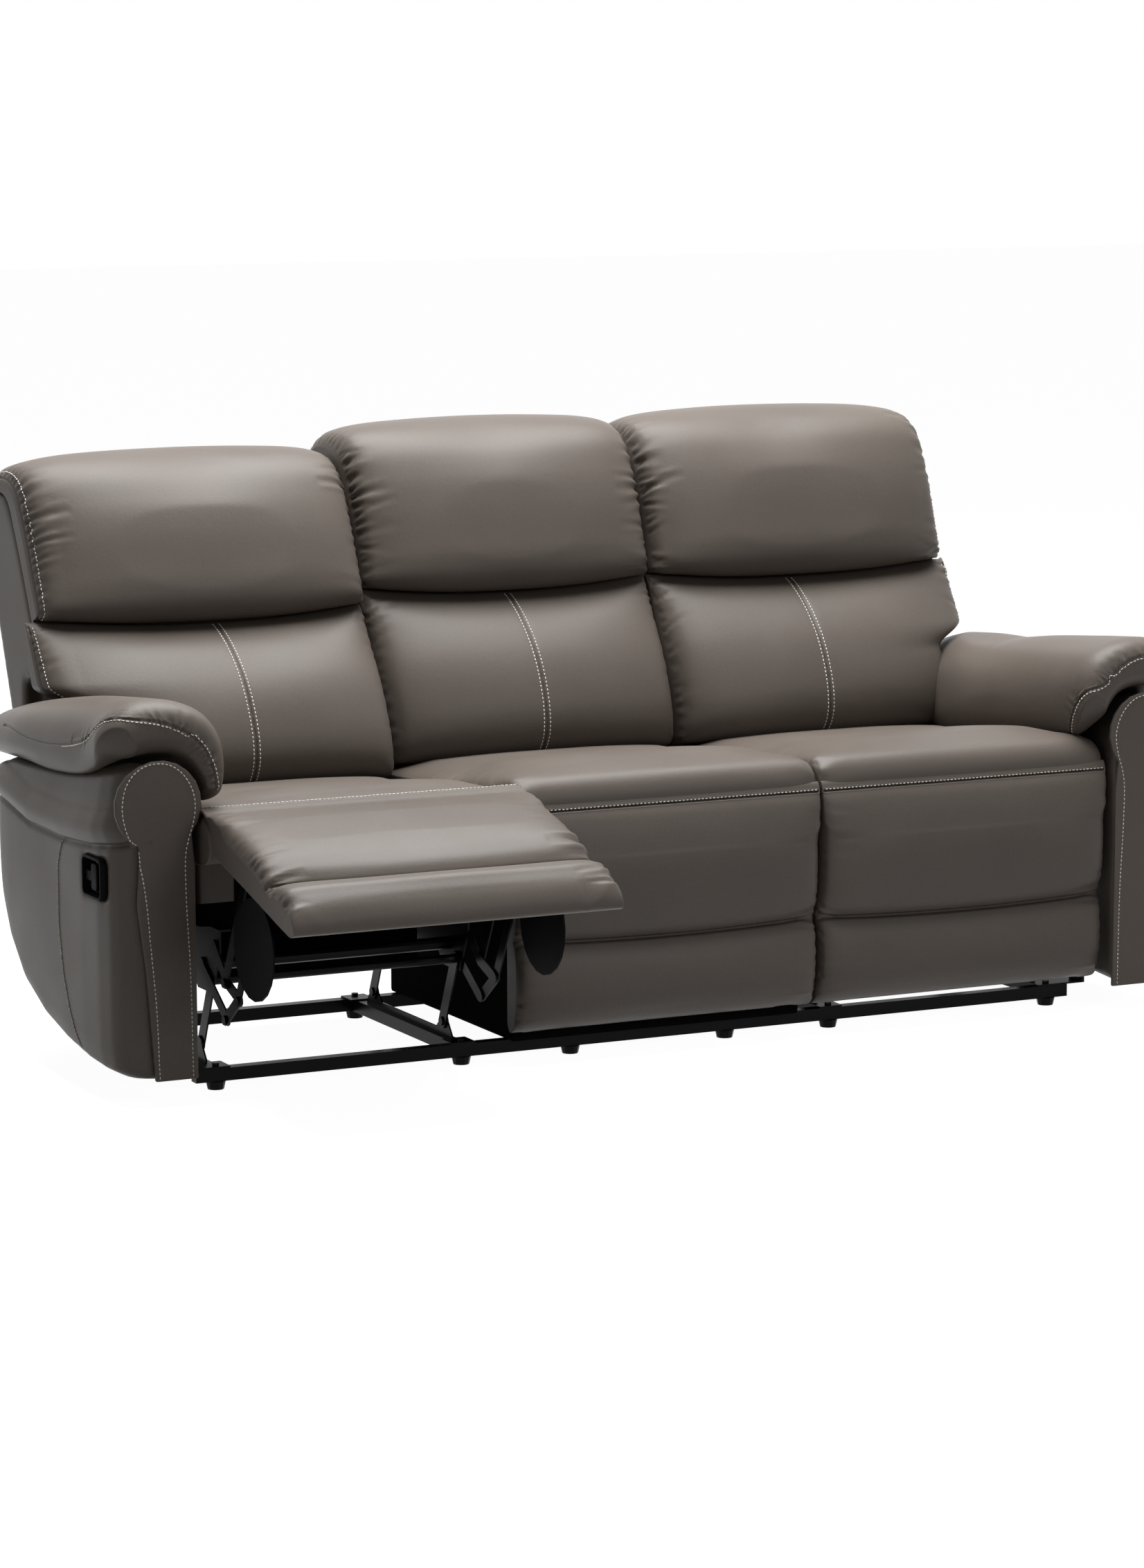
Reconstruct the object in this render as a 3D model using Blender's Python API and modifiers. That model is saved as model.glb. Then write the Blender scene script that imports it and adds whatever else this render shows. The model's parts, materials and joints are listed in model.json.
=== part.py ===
"""Three-seat reclining sofa with a pull-handle recliner at each end.

Metres, +Z up, +X to the right of someone facing the sofa, the front towards -Y.
Every piece is modelled where it stands with the seats shut, on the line of the front rail, and then
hung on the empty of the joint that carries it. The left seat is shown open and the right one shut.
"""

import math

import bmesh
import bpy
from mathutils import Euler, Matrix, Vector

for left_over in list(bpy.data.objects):
    bpy.data.objects.remove(left_over, do_unlink=True)

# Driving sizes of the whole sofa
seat_pitch = 0.585
seat_edge_x = seat_pitch / 2     # from a seat's middle to its edge
arm_seat_gap = 0.0095        # between the edge of an end seat and its arm
arm_inner_x = 3 * seat_edge_x + arm_seat_gap
arm_width = 0.146
mid_depth_y = 0.1697         # from the front rail's line back to the middle of the whole sofa
touch_gap = 0.0003           # between pieces that rest on each other
side_gap = 0.003             # on each side of a piece between two seats
overrun = 0.002              # how far a fused shape reaches into its neighbour

# Base frame of square steel tube
rail_side = 0.022
rail_end_reach = 0.039       # of the cross rails beyond the outermost side rails
rear_rail_y = 0.454
glide_height = 0.014
glide_radius = 0.017
glide_taper_share = 0.82
side_rail_inset = 0.0665     # from a seat's edge in to its side rails
side_rail_rise = 0.0006      # the side tubes stand this much above the cross rails
flange_width = 0.045
flange_length = 0.034
flange_thickness = 0.003
bolt_radius = 0.006
bolt_height = 0.005
middle_foot_x = 0.1512
arm_tab_thickness = 0.005
arm_tab_depth = 0.045
arm_tab_top = 0.160
rear_tab_top = 0.370

# Mechanism plates, counted outwards from a seat's middle
plate_thickness = 0.003
plate_gap = 0.0005
pin_radius = 0.0045
pin_clearance = 0.0006
rivet_head_radius = 0.008
rivet_head_height = 0.0025
link_half_width = 0.010
swing_half_width = 0.013
tube_clearance = 0.0006

# Swing links between the base and the seat
swing_length = 0.130
swing_front_y = 0.070
swing_rear_y = 0.366
swing_pivot_z = 0.062
swing_shut_angle = math.radians(5.35)     # leaning back, seat shut
swing_open_angle = math.radians(-24.0)    # leaning forward, seat open
swing_tube_radius = 0.008
ear_half_width = 0.016
ear_web_height = 0.012

# Footrest linkage: two equal cranks, a carrier plate and a guide link
footrest_turn = math.radians(75.0)
pad_top_shut = (-0.062, 0.450)
pad_top_open = (-0.052, 0.470)
carrier_on_board = (0.126, 0.060)         # down the board from its top edge, in from the pad's face
guide_on_board = (0.066, 0.055)
crank_axis = (0.111, 0.214)
front_link_offset = (-0.056, 0.042)       # from the crank's axis to the front link's axis
crank_tube_radius = 0.011

# Mounting plates on the seat
chassis_front_y = 0.034
chassis_rear_y = 0.412
chassis_low_z = 0.172
chassis_top_z = 0.2845
chassis_lip_width = 0.021
chassis_tube_radius = 0.009
chassis_tube_at = (0.398, 0.246)

# Seat boxes, their widths as insets from a seat's edge
box_inset = 0.039
box_front_y = 0.065
box_rear_y = 0.430
box_top_z = 0.4047
box_nose_inset = 0.1065
box_nose_depth = 0.024
well_inset = 0.1025
well_front_y = 0.160
well_rear_y = 0.345
well_low_z = 0.170
box_edge = 0.006
middle_box_inset = 0.013

# Footrest
pad_length = 0.394
pad_crown = 0.040
pad_inner = 0.024
pad_crown_shares = (0.50, 0.97, 1.00, 0.98, 0.96, 0.90, 0.50)    # from its top to its foot
pad_back_share = 0.70                                             # at both ends of its back
crease_depth = 0.016
crease_half_width = 0.016
board_thickness = 0.014
board_inset = 0.0305
board_from_top = 0.030
board_length = 0.315
bracket_depth = 0.036
bracket_top = 0.048
bracket_bottom = 0.144
shield_inset = 0.0355
shield_thickness = 0.003
shield_foot = 0.012
shield_centre = (0.180, 0.137)
shield_radius_along = 0.084
shield_radius_out = 0.085

# Cushions, as outlines in Y and Z at the middle of a seat
cushion_half_width = seat_edge_x - side_gap
wing_reach = 0.040           # how far an end seat's back stands out over its arm
lobe_reach = 0.048           # and its lumbar cushion, above the arm pad
lobe_low_z = 0.630
seat_line = ((-0.010, 0.405), (0.080, 0.405), (0.170, 0.405), (0.260, 0.405), (0.350, 0.405), (0.440, 0.405))
seat_face = ((0.468, 0.428), (0.360, 0.462), (0.210, 0.476), (0.055, 0.509), (-0.050, 0.511), (-0.052, 0.458))
# The line on which both back cushions lie, from the seat over the top of the frame
back_line = ((0.507, 0.450), (0.530, 0.520), (0.552, 0.590), (0.575, 0.665), (0.597, 0.738), (0.640, 0.845),
             (0.672, 0.915), (0.700, 0.966), (0.738, 0.984), (0.782, 0.983), (0.824, 0.955))
lumbar_line_points = 5
channel_height = 0.006       # between the lumbar and the head cushion
lumbar_face = ((0.556, 0.752), (0.478, 0.700), (0.422, 0.642), (0.384, 0.545), (0.430, 0.446))
head_face = ((0.843, 0.996), (0.795, 1.032), (0.718, 1.048), (0.636, 1.042), (0.577, 0.970), (0.526, 0.840),
             (0.548, 0.741))
frame_front_y = 0.478
frame_low_z = 0.284
frame_rear = ((0.838, 0.930), (0.722, 0.550), (0.605, 0.200), (0.572, 0.200), (0.546, frame_low_z),
              (frame_front_y, frame_low_z), (frame_front_y, 0.390))
wing_front = (0.588, 0.668)
wing_foot = ((0.680, 0.430), (0.660, 0.650))
frame_edge = 0.012
recline_axis = (0.456, 0.318)
hinge_lug_radius = 0.013
hinge_lug_width = 0.016
recline_shown = math.radians(5.0)

# Arms
arm_front_y = -0.1015
arm_length = 0.590
arm_low_z = 0.045
arm_height = 0.546
arm_top_z = arm_low_z + arm_height
front_panel_thickness = 0.008
bulb_radius = 0.074
# The bulb and the two edges of the panel below it, out from the arm's inner face and up from its top
bulb_centre = (0.0595, -0.088)
panel_inner = ((0.004, -0.176), (0.002, -arm_height))
panel_outer = ((0.072, -arm_height), (0.086, -0.359), (0.098, -0.251), (0.094, -0.186))
# Sections of the arm pad near its front and its rear, out from the arm's inner face and up from its top
pad_front_section = ((-0.036, -0.087), (-0.064, -0.043), (-0.050, 0.027), (0.006, 0.075), (0.100, 0.076),
                     (0.154, 0.013), (0.140, -0.059), (0.127, -0.025), (0.092, 0.005), (0.030, 0.009),
                     (-0.008, -0.021), (-0.018, -0.071))
pad_rear_section = ((0.008, -0.105), (0.004, -0.061), (0.010, -0.021), (0.040, 0.012), (0.096, 0.020),
                    (0.138, -0.013), (0.138, -0.057), (0.115, -0.064), (0.090, -0.065), (0.060, -0.069),
                    (0.035, -0.077), (0.018, -0.097))
arm_pad_front_y = -0.111
arm_pad_length = 0.700
arm_pad_centre = (0.055, -0.001)
arm_pad_sink = 0.034

# Release handle
handle_out_share = 0.955     # of the arm's width, out to the outer side at the handle
cup_y = -0.009
cup_z = 0.376
cup_length = 0.084
cup_height = 0.062
cup_depth = 0.030
cup_wall = 0.0025
bezel_width = 0.005
bezel_thickness = 0.003
bezel_stand = 0.004
paddle_length = 0.052
paddle_height = 0.042
paddle_thickness = 0.006
paddle_stem_height = 0.016
paddle_stem_length = 0.014
paddle_hinge_radius = 0.004
paddle_set_in = 0.010

rail_top_z = glide_height + rail_side
side_rail_offset = seat_edge_x - side_rail_inset
shield_offset = seat_edge_x - shield_inset

parts = bpy.data.collections.new("three_seat_sofa")
cutters = bpy.data.collections.new("cutters")
for group in (parts, cutters):
    bpy.context.scene.collection.children.link(group)


# Materials: base colour, roughness, metallic
finishes = {
    "leather": ((0.130, 0.112, 0.102), 0.46, 0.0),
    "steel": ((0.013, 0.013, 0.014), 0.38, 0.6),
    "plastic": ((0.016, 0.016, 0.017), 0.5, 0.0),
    "lining": ((0.010, 0.010, 0.010), 0.9, 0.0),
    "board": ((0.050, 0.040, 0.034), 0.8, 0.0),
}


def material_of(name, finish):
    colour, roughness, metallic = finishes[finish]
    material = bpy.data.materials.new(f"{name}_{finish}")
    material.use_nodes = True
    shader = material.node_tree.nodes["Principled BSDF"]
    shader.inputs["Base Color"].default_value = (*colour, 1.0)
    shader.inputs["Roughness"].default_value = roughness
    shader.inputs["Metallic"].default_value = metallic
    return material


# Joints: an empty on each axis, set where the seats are shut and then turned
def joint(name, at, parent=None, turn=0.0, axis="X"):
    empty = bpy.data.objects.new(name, None)
    parts.objects.link(empty)
    empty.parent = parent["empty"] if parent else None
    start = parent["at"] if parent else Vector()
    empty.location = Vector(at) - start
    empty.rotation_euler = Euler([turn if axis == letter else 0.0 for letter in "XYZ"])
    return {"empty": empty, "at": Vector(at)}


root = {"empty": bpy.data.objects.new("sofa_origin", None), "at": Vector()}
parts.objects.link(root["empty"])
root["empty"].location = (0.0, -mid_depth_y, 0.0)


# Shapes
def object_from(bm, name="shape"):
    mesh = bpy.data.meshes.new(name)
    bm.to_mesh(mesh)
    bm.free()
    shape = bpy.data.objects.new(name, mesh)
    bpy.context.scene.collection.objects.link(shape)
    return shape


def block(low, high, edge=0.0):
    """A box between two corners, with its edges rounded over."""
    low, high = Vector(low), Vector(high)
    bm = bmesh.new()
    bmesh.ops.create_cube(bm, size=1.0)
    bmesh.ops.scale(bm, vec=high - low, verts=bm.verts)
    bmesh.ops.translate(bm, vec=(low + high) / 2, verts=bm.verts)
    shape = object_from(bm)
    if edge:
        bevel = shape.modifiers.new("edges", "BEVEL")
        bevel.width = edge
        bevel.segments = 2
        baked(shape)
    return shape


def rod(start, end, radius, sides=12, end_radius=None):
    """A round bar between two points."""
    start, end = Vector(start), Vector(end)
    along = end - start
    bm = bmesh.new()
    bmesh.ops.create_cone(bm, cap_ends=True, segments=sides, radius1=radius,
                          radius2=end_radius or radius, depth=along.length)
    turned = along.to_track_quat("Z", "Y").to_matrix().to_4x4()
    bmesh.ops.transform(bm, matrix=Matrix.Translation((start + end) / 2) @ turned, verts=bm.verts)
    return object_from(bm)


def circle(centre, radius, sides=12):
    return [(centre[0] + radius * math.cos(math.tau * step / sides),
             centre[1] + radius * math.sin(math.tau * step / sides)) for step in range(sides)]


def strap(points, half_width, arc_steps=4):
    """The outline of a link with round ends and round shoulders, along a chain of pivots."""
    outline = []
    count = len(points)
    order = list(range(count)) + list(range(count - 2, 0, -1))
    for place, index in enumerate(order):
        here = Vector(points[index])
        before = Vector(points[order[place - 1]])
        after = Vector(points[order[(place + 1) % len(order)]])
        start = math.atan2(*(here - before).yx) - math.pi / 2
        end = math.atan2(*(after - here).yx) - math.pi / 2
        sweep = (end - start) % math.tau
        if sweep > math.pi * 1.5:
            middle = start + (sweep - math.tau) / 2
            reach = half_width / math.cos((sweep - math.tau) / 2)
            outline.append(here + reach * Vector((math.cos(middle), math.sin(middle))))
            continue
        steps = max(1, round(arc_steps * sweep / math.pi))
        for step in range(steps + 1):
            angle = start + sweep * step / steps
            outline.append(here + half_width * Vector((math.cos(angle), math.sin(angle))))
    return outline


def plate(outline, holes, x_low, thickness, facing="X"):
    """A flat outline with holes, given its thickness; facing X it lies in Y and Z, facing Y in X and Z."""
    curve = bpy.data.curves.new("outline", "CURVE")
    curve.dimensions = "2D"
    curve.fill_mode = "BOTH"
    curve.extrude = thickness / 2
    for loop in [outline, *holes]:
        spline = curve.splines.new("POLY")
        spline.points.add(len(loop) - 1)
        for point, (across, up) in zip(spline.points, loop):
            point.co = (across, up, 0.0, 1.0)
        spline.use_cyclic_u = True
    drawn = bpy.data.objects.new("outline", curve)
    bpy.context.scene.collection.objects.link(drawn)
    if facing == "X":
        turned = Matrix(((0, 0, 1), (1, 0, 0), (0, 1, 0))).to_4x4()
        placed = Matrix.Translation((x_low + thickness / 2, 0.0, 0.0))
    else:
        turned = Matrix(((1, 0, 0), (0, 0, -1), (0, 1, 0))).to_4x4()
        placed = Matrix.Translation((0.0, x_low + thickness / 2, 0.0))
    drawn.matrix_world = placed @ turned
    bpy.context.view_layer.update()
    mesh = bpy.data.meshes.new_from_object(drawn.evaluated_get(bpy.context.evaluated_depsgraph_get()))
    bm = bmesh.new()
    bm.from_mesh(mesh)
    bmesh.ops.remove_doubles(bm, verts=bm.verts, dist=touch_gap / 10)
    bmesh.ops.transform(bm, matrix=drawn.matrix_world, verts=bm.verts)
    bmesh.ops.recalc_face_normals(bm, faces=bm.faces)
    bpy.data.objects.remove(drawn, do_unlink=True)
    return object_from(bm)


def loft(rings):
    """A closed skin over a row of rings with the same, even number of points."""
    bm = bmesh.new()
    rows = [[bm.verts.new(point) for point in ring] for ring in rings]
    count = len(rows[0])
    for near, far in zip(rows, rows[1:]):
        for index in range(count):
            after = (index + 1) % count
            bm.faces.new((near[index], near[after], far[after], far[index]))
    for row in (rows[0], rows[-1]):
        for index in range(count // 2 - 1):
            bm.faces.new((row[index], row[index + 1], row[count - 2 - index], row[count - 1 - index]))
    bmesh.ops.recalc_face_normals(bm, faces=bm.faces)
    return object_from(bm)


def baked(shape):
    """Replaces an object's mesh with what its modifiers make of it."""
    bpy.context.view_layer.update()
    mesh = bpy.data.meshes.new_from_object(shape.evaluated_get(bpy.context.evaluated_depsgraph_get()))
    shape.modifiers.clear()
    shape.data = mesh
    return shape


def joined(shape, others, operation="UNION"):
    for other in others:
        boolean = shape.modifiers.new("join", "BOOLEAN")
        boolean.operation = operation
        boolean.solver = "EXACT"
        boolean.object = other
        baked(shape)
        bpy.data.objects.remove(other, do_unlink=True)
    return shape


def rounded(shape, levels=1):
    surface = shape.modifiers.new("rounding", "SUBSURF")
    surface.levels = levels
    surface.render_levels = levels
    return shape


def finished(shape, name, finish, carrier=root, smooth_angle=math.radians(40)):
    """Names a piece, gives it its material and hangs it on the joint that carries it."""
    shape.name = name
    shape.data.name = name
    shape.data.transform(Matrix.Translation(-carrier["at"]))
    shape.data.shade_smooth()
    shape.data.set_sharp_from_angle(angle=smooth_angle)
    shape.data.materials.clear()
    shape.data.materials.append(material_of(name, finish))
    bpy.context.scene.collection.objects.unlink(shape)
    parts.objects.link(shape)
    shape.parent = carrier["empty"]
    return shape


def span(seat_x, side, near, far):
    """The X limits of something between two distances from a seat's middle, on one side of it."""
    return sorted((seat_x + side * near, seat_x + side * far))


# Plate layers, from the inside out: swing links, mounting plates, cranks, carriers, rivet heads
layer_step = plate_thickness + plate_gap
mount_layer = side_rail_offset - plate_gap
layers = {name: mount_layer + step * layer_step
          for name, step in (("swing", -1), ("mount", 0), ("crank", 1), ("carrier", 2), ("head", 3))}


def layer_plate(outline, holes, seat_x, side, layer):
    low = span(seat_x, side, layers[layer], layers[layer] + plate_thickness)[0]
    return plate(outline, holes, low, plate_thickness)


def rivet(at, seat_x, side, from_layer, to_layer, radius=pin_radius, headed=True):
    """A pin fast in one plate that runs through the next, with a head beyond it."""
    outwards = layers[to_layer] > layers[from_layer]
    start = layers[from_layer] + plate_thickness / 2
    face = layers[to_layer] + (plate_thickness if outwards else 0.0)
    way = side if outwards else -side
    end = face + (plate_gap if headed else 0.0) * (1 if outwards else -1)
    here = Vector((seat_x, *at))
    pieces = [rod(here + Vector((side * start, 0, 0)), here + Vector((side * end, 0, 0)), radius, 12)]
    if headed:
        top = here + Vector((side * end, 0, 0))
        pieces[0] = joined(pieces[0], [rod(top - Vector((way * plate_gap / 2, 0, 0)),
                                           top + Vector((way * rivet_head_height, 0, 0)),
                                           rivet_head_radius, 10)])
    return pieces[0]


# Cushions: a face raised over the line it rests on, and drawn down to it towards both sides
def point_over(line, point, share):
    """Brings a point of a cushion's face nearer to the line below it."""
    nearest = None
    for start, end in zip(line, line[1:]):
        along = Vector(end) - Vector(start)
        part = (Vector(point) - Vector(start)).dot(along) / along.length_squared
        foot = Vector(start) + along * min(max(part, 0.0), 1.0)
        if nearest is None or (Vector(point) - foot).length < (Vector(point) - nearest).length:
            nearest = foot
    return nearest + (Vector(point) - nearest) * share


def cushion(seat_x, outward, line, face, stations, reach=0.0, reach_low_z=0.0):
    """Each station is a share of the half width, and how much of the cushion's thickness it keeps there."""
    rings = []
    for across_share, thickness_share in stations:
        raised = [point_over(line, point, thickness_share) for point in face]
        outline = [Vector(point) for point in line] + raised
        ring = []
        for resting, point in zip((*line, *face), outline):
            out = cushion_half_width * across_share
            if across_share > 0 and resting[1] > reach_low_z:
                out += reach * across_share
            ring.append((seat_x + outward * out, point.x, point.y))
        rings.append(ring)
    return rounded(loft(rings))


seat_station_shares = ((-1.0, 0.80), (-0.95, 0.96), (0.0, 1.04), (0.95, 0.96), (1.0, 0.80))
lumbar_station_shares = ((-1.0, 0.30), (-0.93, 0.82), (0.0, 1.0), (0.93, 0.82))
lumbar_end_shares = (0.30, 0.55)
head_station_shares = ((-1.0, 0.30), (-0.94, 0.82), (0.0, 1.0), (0.94, 0.82), (1.0, 0.30))
pad_station_shares = ((-1.0, 0.975, 0.5), (-0.95, 1.0, 0.96), (0.0, 1.0, 1.0), (0.95, 1.0, 0.96),
                      (1.0, 0.975, 0.5))


def seat_cushion(name, seat_x, carrier=root):
    shape = cushion(seat_x, 1, seat_line, seat_face, seat_station_shares)
    return finished(shape, f"{name}_seat_cushion", "leather", carrier)


def front_pad(name, seat_x, crease_share, carrier=root):
    """The padded panel under the seat's nose: two rolls with a crease sewn between them."""
    face = -pad_crown
    crease = pad_length * crease_share
    roll = pad_crown / 2
    top, shoulder, middle, above, below, heel, foot = (face * share for share in pad_crown_shares)
    back_end = pad_inner * pad_back_share
    over, under = crease - crease_half_width, crease + crease_half_width
    profile = ((0.0, top), (roll / 2, shoulder), (crease / 2, middle), (over, above),
               (crease, face + crease_depth), (under, below), (pad_length - roll, heel), (pad_length, foot),
               (pad_length, back_end), (pad_length - roll, pad_inner), (under, pad_inner),
               (crease, pad_inner), (over, pad_inner), (crease / 2, pad_inner), (roll / 2, pad_inner),
               (0.0, back_end))
    rings = []
    for across_share, length_share, crown_share in pad_station_shares:
        ring = []
        for down, inwards in profile:
            down = pad_length / 2 + (down - pad_length / 2) * length_share
            deep = inwards * crown_share if inwards < 0 else inwards
            ring.append((seat_x + across_share * cushion_half_width,
                         pad_top_shut[0] + deep, pad_top_shut[1] - down))
        rings.append(ring)
    return finished(rounded(loft(rings)), name, "leather", carrier)


def back_cushions(name, seat_x, outward, reach, carrier=root):
    """The lumbar cushion and the head cushion over it, which rolls back over the top of the frame."""
    end_share = lumbar_end_shares[1 if reach else 0]
    lumbar = cushion(seat_x, outward, back_line[:lumbar_line_points], lumbar_face,
                     (*lumbar_station_shares, (1.0, end_share)), lobe_reach if reach else 0.0, lobe_low_z)
    finished(lumbar, f"{name}_lumbar_cushion", "leather", carrier)
    start_y, start_z = back_line[lumbar_line_points - 1]
    head_line = ((start_y, start_z + channel_height), *back_line[lumbar_line_points:])
    head = cushion(seat_x, outward, head_line, head_face, head_station_shares, reach)
    finished(head, f"{name}_head_cushion", "leather", carrier)


def eased(line):
    """The line with its corners cut as the rounding of a cushion cuts them."""
    points = [Vector(point) for point in line]
    curve = [points[0], (points[0] + points[1]) / 2]
    for index in range(1, len(points) - 1):
        before, here, after = points[index - 1:index + 2]
        curve.append((before + here * 4 + after) / 6)
        beyond = points[index + 2] if index + 2 < len(points) else after
        curve.append((before + (here + after) * 23 + beyond) / 48)
    return curve


def offset(line, distance):
    """The line moved sideways, to its right."""
    moved = []
    for index, here in enumerate(line):
        before = Vector(line[max(index - 1, 0)])
        after = Vector(line[min(index + 1, len(line) - 1)])
        along = (after - before).normalized()
        into = (Vector(here) - before).normalized() if index else along
        moved.append(tuple(Vector(here) + Vector((along.y, -along.x)) * distance / max(along.dot(into), 0.5)))
    return moved


def back_frame(name, seat_x, outward, reach, carrier=root):
    """The upholstered back shell; on an end seat a wing of it stands out over and behind the arm."""
    front = offset(eased(back_line), touch_gap)
    width = 2 * cushion_half_width
    shape = plate((*front, *frame_rear), [], seat_x - cushion_half_width, width)
    if reach:
        outline = (wing_front, *[point for point in front if point[1] > wing_front[1] + overrun],
                   *frame_rear[:2], *wing_foot)
        shape = joined(shape, [plate(outline, [], *wing_span(seat_x, outward, reach))])
    bevel = shape.modifiers.new("edges", "BEVEL")
    bevel.width = frame_edge
    bevel.segments = 2
    bevel.limit_method = "ANGLE"
    baked(shape)
    if reach:
        shape = joined(shape, [hinge_lug(seat_x, side) for side in (-1, 1)])
    return finished(shape, f"{name}_back_frame", "leather", carrier)


def hinge_lug(seat_x, side):
    """A steel lug on the front of a reclining back, bored for the pin on the seat's plate."""
    y, z = recline_axis
    outline = [(frame_front_y + frame_edge, z + hinge_lug_radius),
               (frame_front_y + frame_edge, z - hinge_lug_radius)]
    for step in range(7):
        angle = math.pi * step / 6
        outline.append((y - hinge_lug_radius * math.sin(angle), z - hinge_lug_radius * math.cos(angle)))
    start = layers["mount"] - plate_gap - hinge_lug_width
    low = span(seat_x, side, start, start + hinge_lug_width)[0]
    return plate(outline, [hole(recline_axis)], low, hinge_lug_width)


def wing_span(seat_x, outward, reach):
    inner = seat_x + outward * (cushion_half_width - frame_edge * 2)
    outer = seat_x + outward * (cushion_half_width + reach)
    low, high = sorted((inner, outer))
    return low, high - low


# Base: front and rear rails with their glides
def cross_rail(name, at_y, feet_x):
    end_x = seat_pitch + side_rail_offset + rail_end_reach
    shape = block((-end_x, at_y - rail_side / 2, glide_height), (end_x, at_y + rail_side / 2, rail_top_z))
    for x in feet_x:
        glide = rod((x, at_y, 0.0), (x, at_y, glide_height - touch_gap), glide_radius * glide_taper_share, 12,
                    glide_radius)
        stem = rod((x, at_y, glide_height / 2), (x, at_y, glide_height + overrun), bolt_radius, 6)
        shape = joined(shape, [joined(glide, [stem])])
    finished(shape, name, "steel")


rail_feet_x = [side * (seat_pitch + across) for side in (-1, 1)
               for across in (-side_rail_offset, side_rail_offset)]
cross_rail("front_rail", 0.0, rail_feet_x + [-middle_foot_x, middle_foot_x])
cross_rail("rear_rail", rear_rail_y, rail_feet_x)


def swing_ear_outline():
    """The bracket on a side rail: a low web with an ear standing up at each swing link."""
    low = rail_top_z - overrun
    web = rail_top_z + ear_web_height
    outline = [(swing_front_y - 2 * ear_half_width, low), (swing_rear_y + 2 * ear_half_width, low),
               (swing_rear_y + 2 * ear_half_width, rail_top_z + ear_web_height / 2)]
    for centre in (swing_rear_y, swing_front_y):
        for step in range(5):
            angle = math.pi * step / 4
            outline.append((centre + ear_half_width * math.cos(angle),
                            swing_pivot_z + ear_half_width * math.sin(angle)))
        if centre == swing_rear_y:
            outline += [(swing_rear_y - 2 * ear_half_width, web), (swing_front_y + 2 * ear_half_width, web)]
    outline.append((swing_front_y - 2 * ear_half_width, rail_top_z + ear_web_height / 2))
    return outline


def side_rail(name, seat_x, side, outer):
    """A side tube with bolting flanges on the cross rails, its swing bracket and, outermost, the arm tabs."""
    x = seat_x + side * side_rail_offset
    tube_top = rail_top_z + side_rail_rise
    inset = rail_side / 2 + touch_gap
    shape = block((x - rail_side / 2, inset, glide_height + side_rail_rise),
                  (x + rail_side / 2, rear_rail_y - inset, tube_top))
    pieces = []
    for rail_y, way in ((0.0, 1), (rear_rail_y, -1)):
        ends = sorted((rail_y - way * rail_side / 2, rail_y + way * flange_length))
        flange_low = rail_top_z + touch_gap
        pieces.append(block((x - flange_width / 2, ends[0], flange_low),
                            (x + flange_width / 2, ends[1], flange_low + flange_thickness)))
        pieces.append(rod((x, rail_y, flange_low + flange_thickness / 2),
                          (x, rail_y, flange_low + flange_thickness + bolt_height), bolt_radius, 6))
        if outer:
            face = side * (arm_inner_x - touch_gap)
            near = sorted((x, face))
            tab = sorted((face, face - side * arm_tab_thickness))
            top = arm_tab_top if rail_y == 0.0 else rear_tab_top
            base_y = (ends[0], ends[0] + arm_tab_depth)
            if way < 0:
                base_y = (ends[1] - arm_tab_depth, ends[1])
            pieces.append(block((near[0], base_y[0], flange_low),
                                (near[1], base_y[1], flange_low + flange_thickness)))
            pieces.append(block((tab[0], base_y[0], flange_low), (tab[1], base_y[1], top)))
    pieces.append(layer_plate(swing_ear_outline(), [], seat_x, side, "mount"))
    for pivot_y in (swing_front_y, swing_rear_y):
        pieces.append(rivet((pivot_y, swing_pivot_z), seat_x, side, "mount", "swing"))
    finished(joined(shape, pieces), name, "steel")


for sign, hand in ((-1, "left"), (1, "right")):
    side_rail(f"{hand}_outer_side_rail", sign * seat_pitch, sign, True)
    side_rail(f"{hand}_inner_side_rail", sign * seat_pitch, -sign, False)


# Recliner mechanism and seat
def board_point(on_board, opened):
    """A point fixed on the footrest board, in the seat's frame, with the footrest shut or open."""
    down, inwards = on_board
    angle = -footrest_turn if opened else 0.0
    along = Vector((math.sin(angle), -math.cos(angle)))
    inward = Vector((math.cos(angle), math.sin(angle)))
    return Vector(pad_top_open if opened else pad_top_shut) + down * along + inwards * inward


carrier_shut = board_point(carrier_on_board, False)
carrier_travel = board_point(carrier_on_board, True) - carrier_shut
crank_length = carrier_travel.length / (2 * math.sin(footrest_turn / 2))
crank_angle = math.atan2(carrier_travel.y, carrier_travel.x) + math.pi / 2 + footrest_turn / 2
crank_arm = crank_length * Vector((math.cos(crank_angle), math.sin(crank_angle)))
crank_end = Vector(crank_axis) + crank_arm
front_axis = Vector(crank_axis) + Vector(front_link_offset)
front_end = front_axis + crank_arm
guide_shut = board_point(guide_on_board, False)
guide_end = front_end + guide_shut - carrier_shut
swing_turn = swing_shut_angle - swing_open_angle


def swing_top(pivot_y):
    return Vector((pivot_y + swing_length * math.sin(swing_shut_angle),
                   swing_pivot_z + swing_length * math.cos(swing_shut_angle)))


def hole(at, radius=pin_radius, clearance=pin_clearance, sides=12):
    return circle(at, radius + clearance, sides)


def swing_frame(name, seat_x, pivot_y, carrier):
    """Two swing links joined by the tube that the seat's plates hang on."""
    top = swing_top(pivot_y)
    outline = strap([(pivot_y, swing_pivot_z), top], swing_half_width)
    foot = hole((pivot_y, swing_pivot_z))
    links = [layer_plate(outline, [foot], seat_x, side, "swing") for side in (-1, 1)]
    reach = layers["mount"] + plate_thickness
    tube = rod((seat_x - reach, *top), (seat_x + reach, *top), swing_tube_radius)
    finished(joined(tube, links), name, "steel", carrier)


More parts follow.
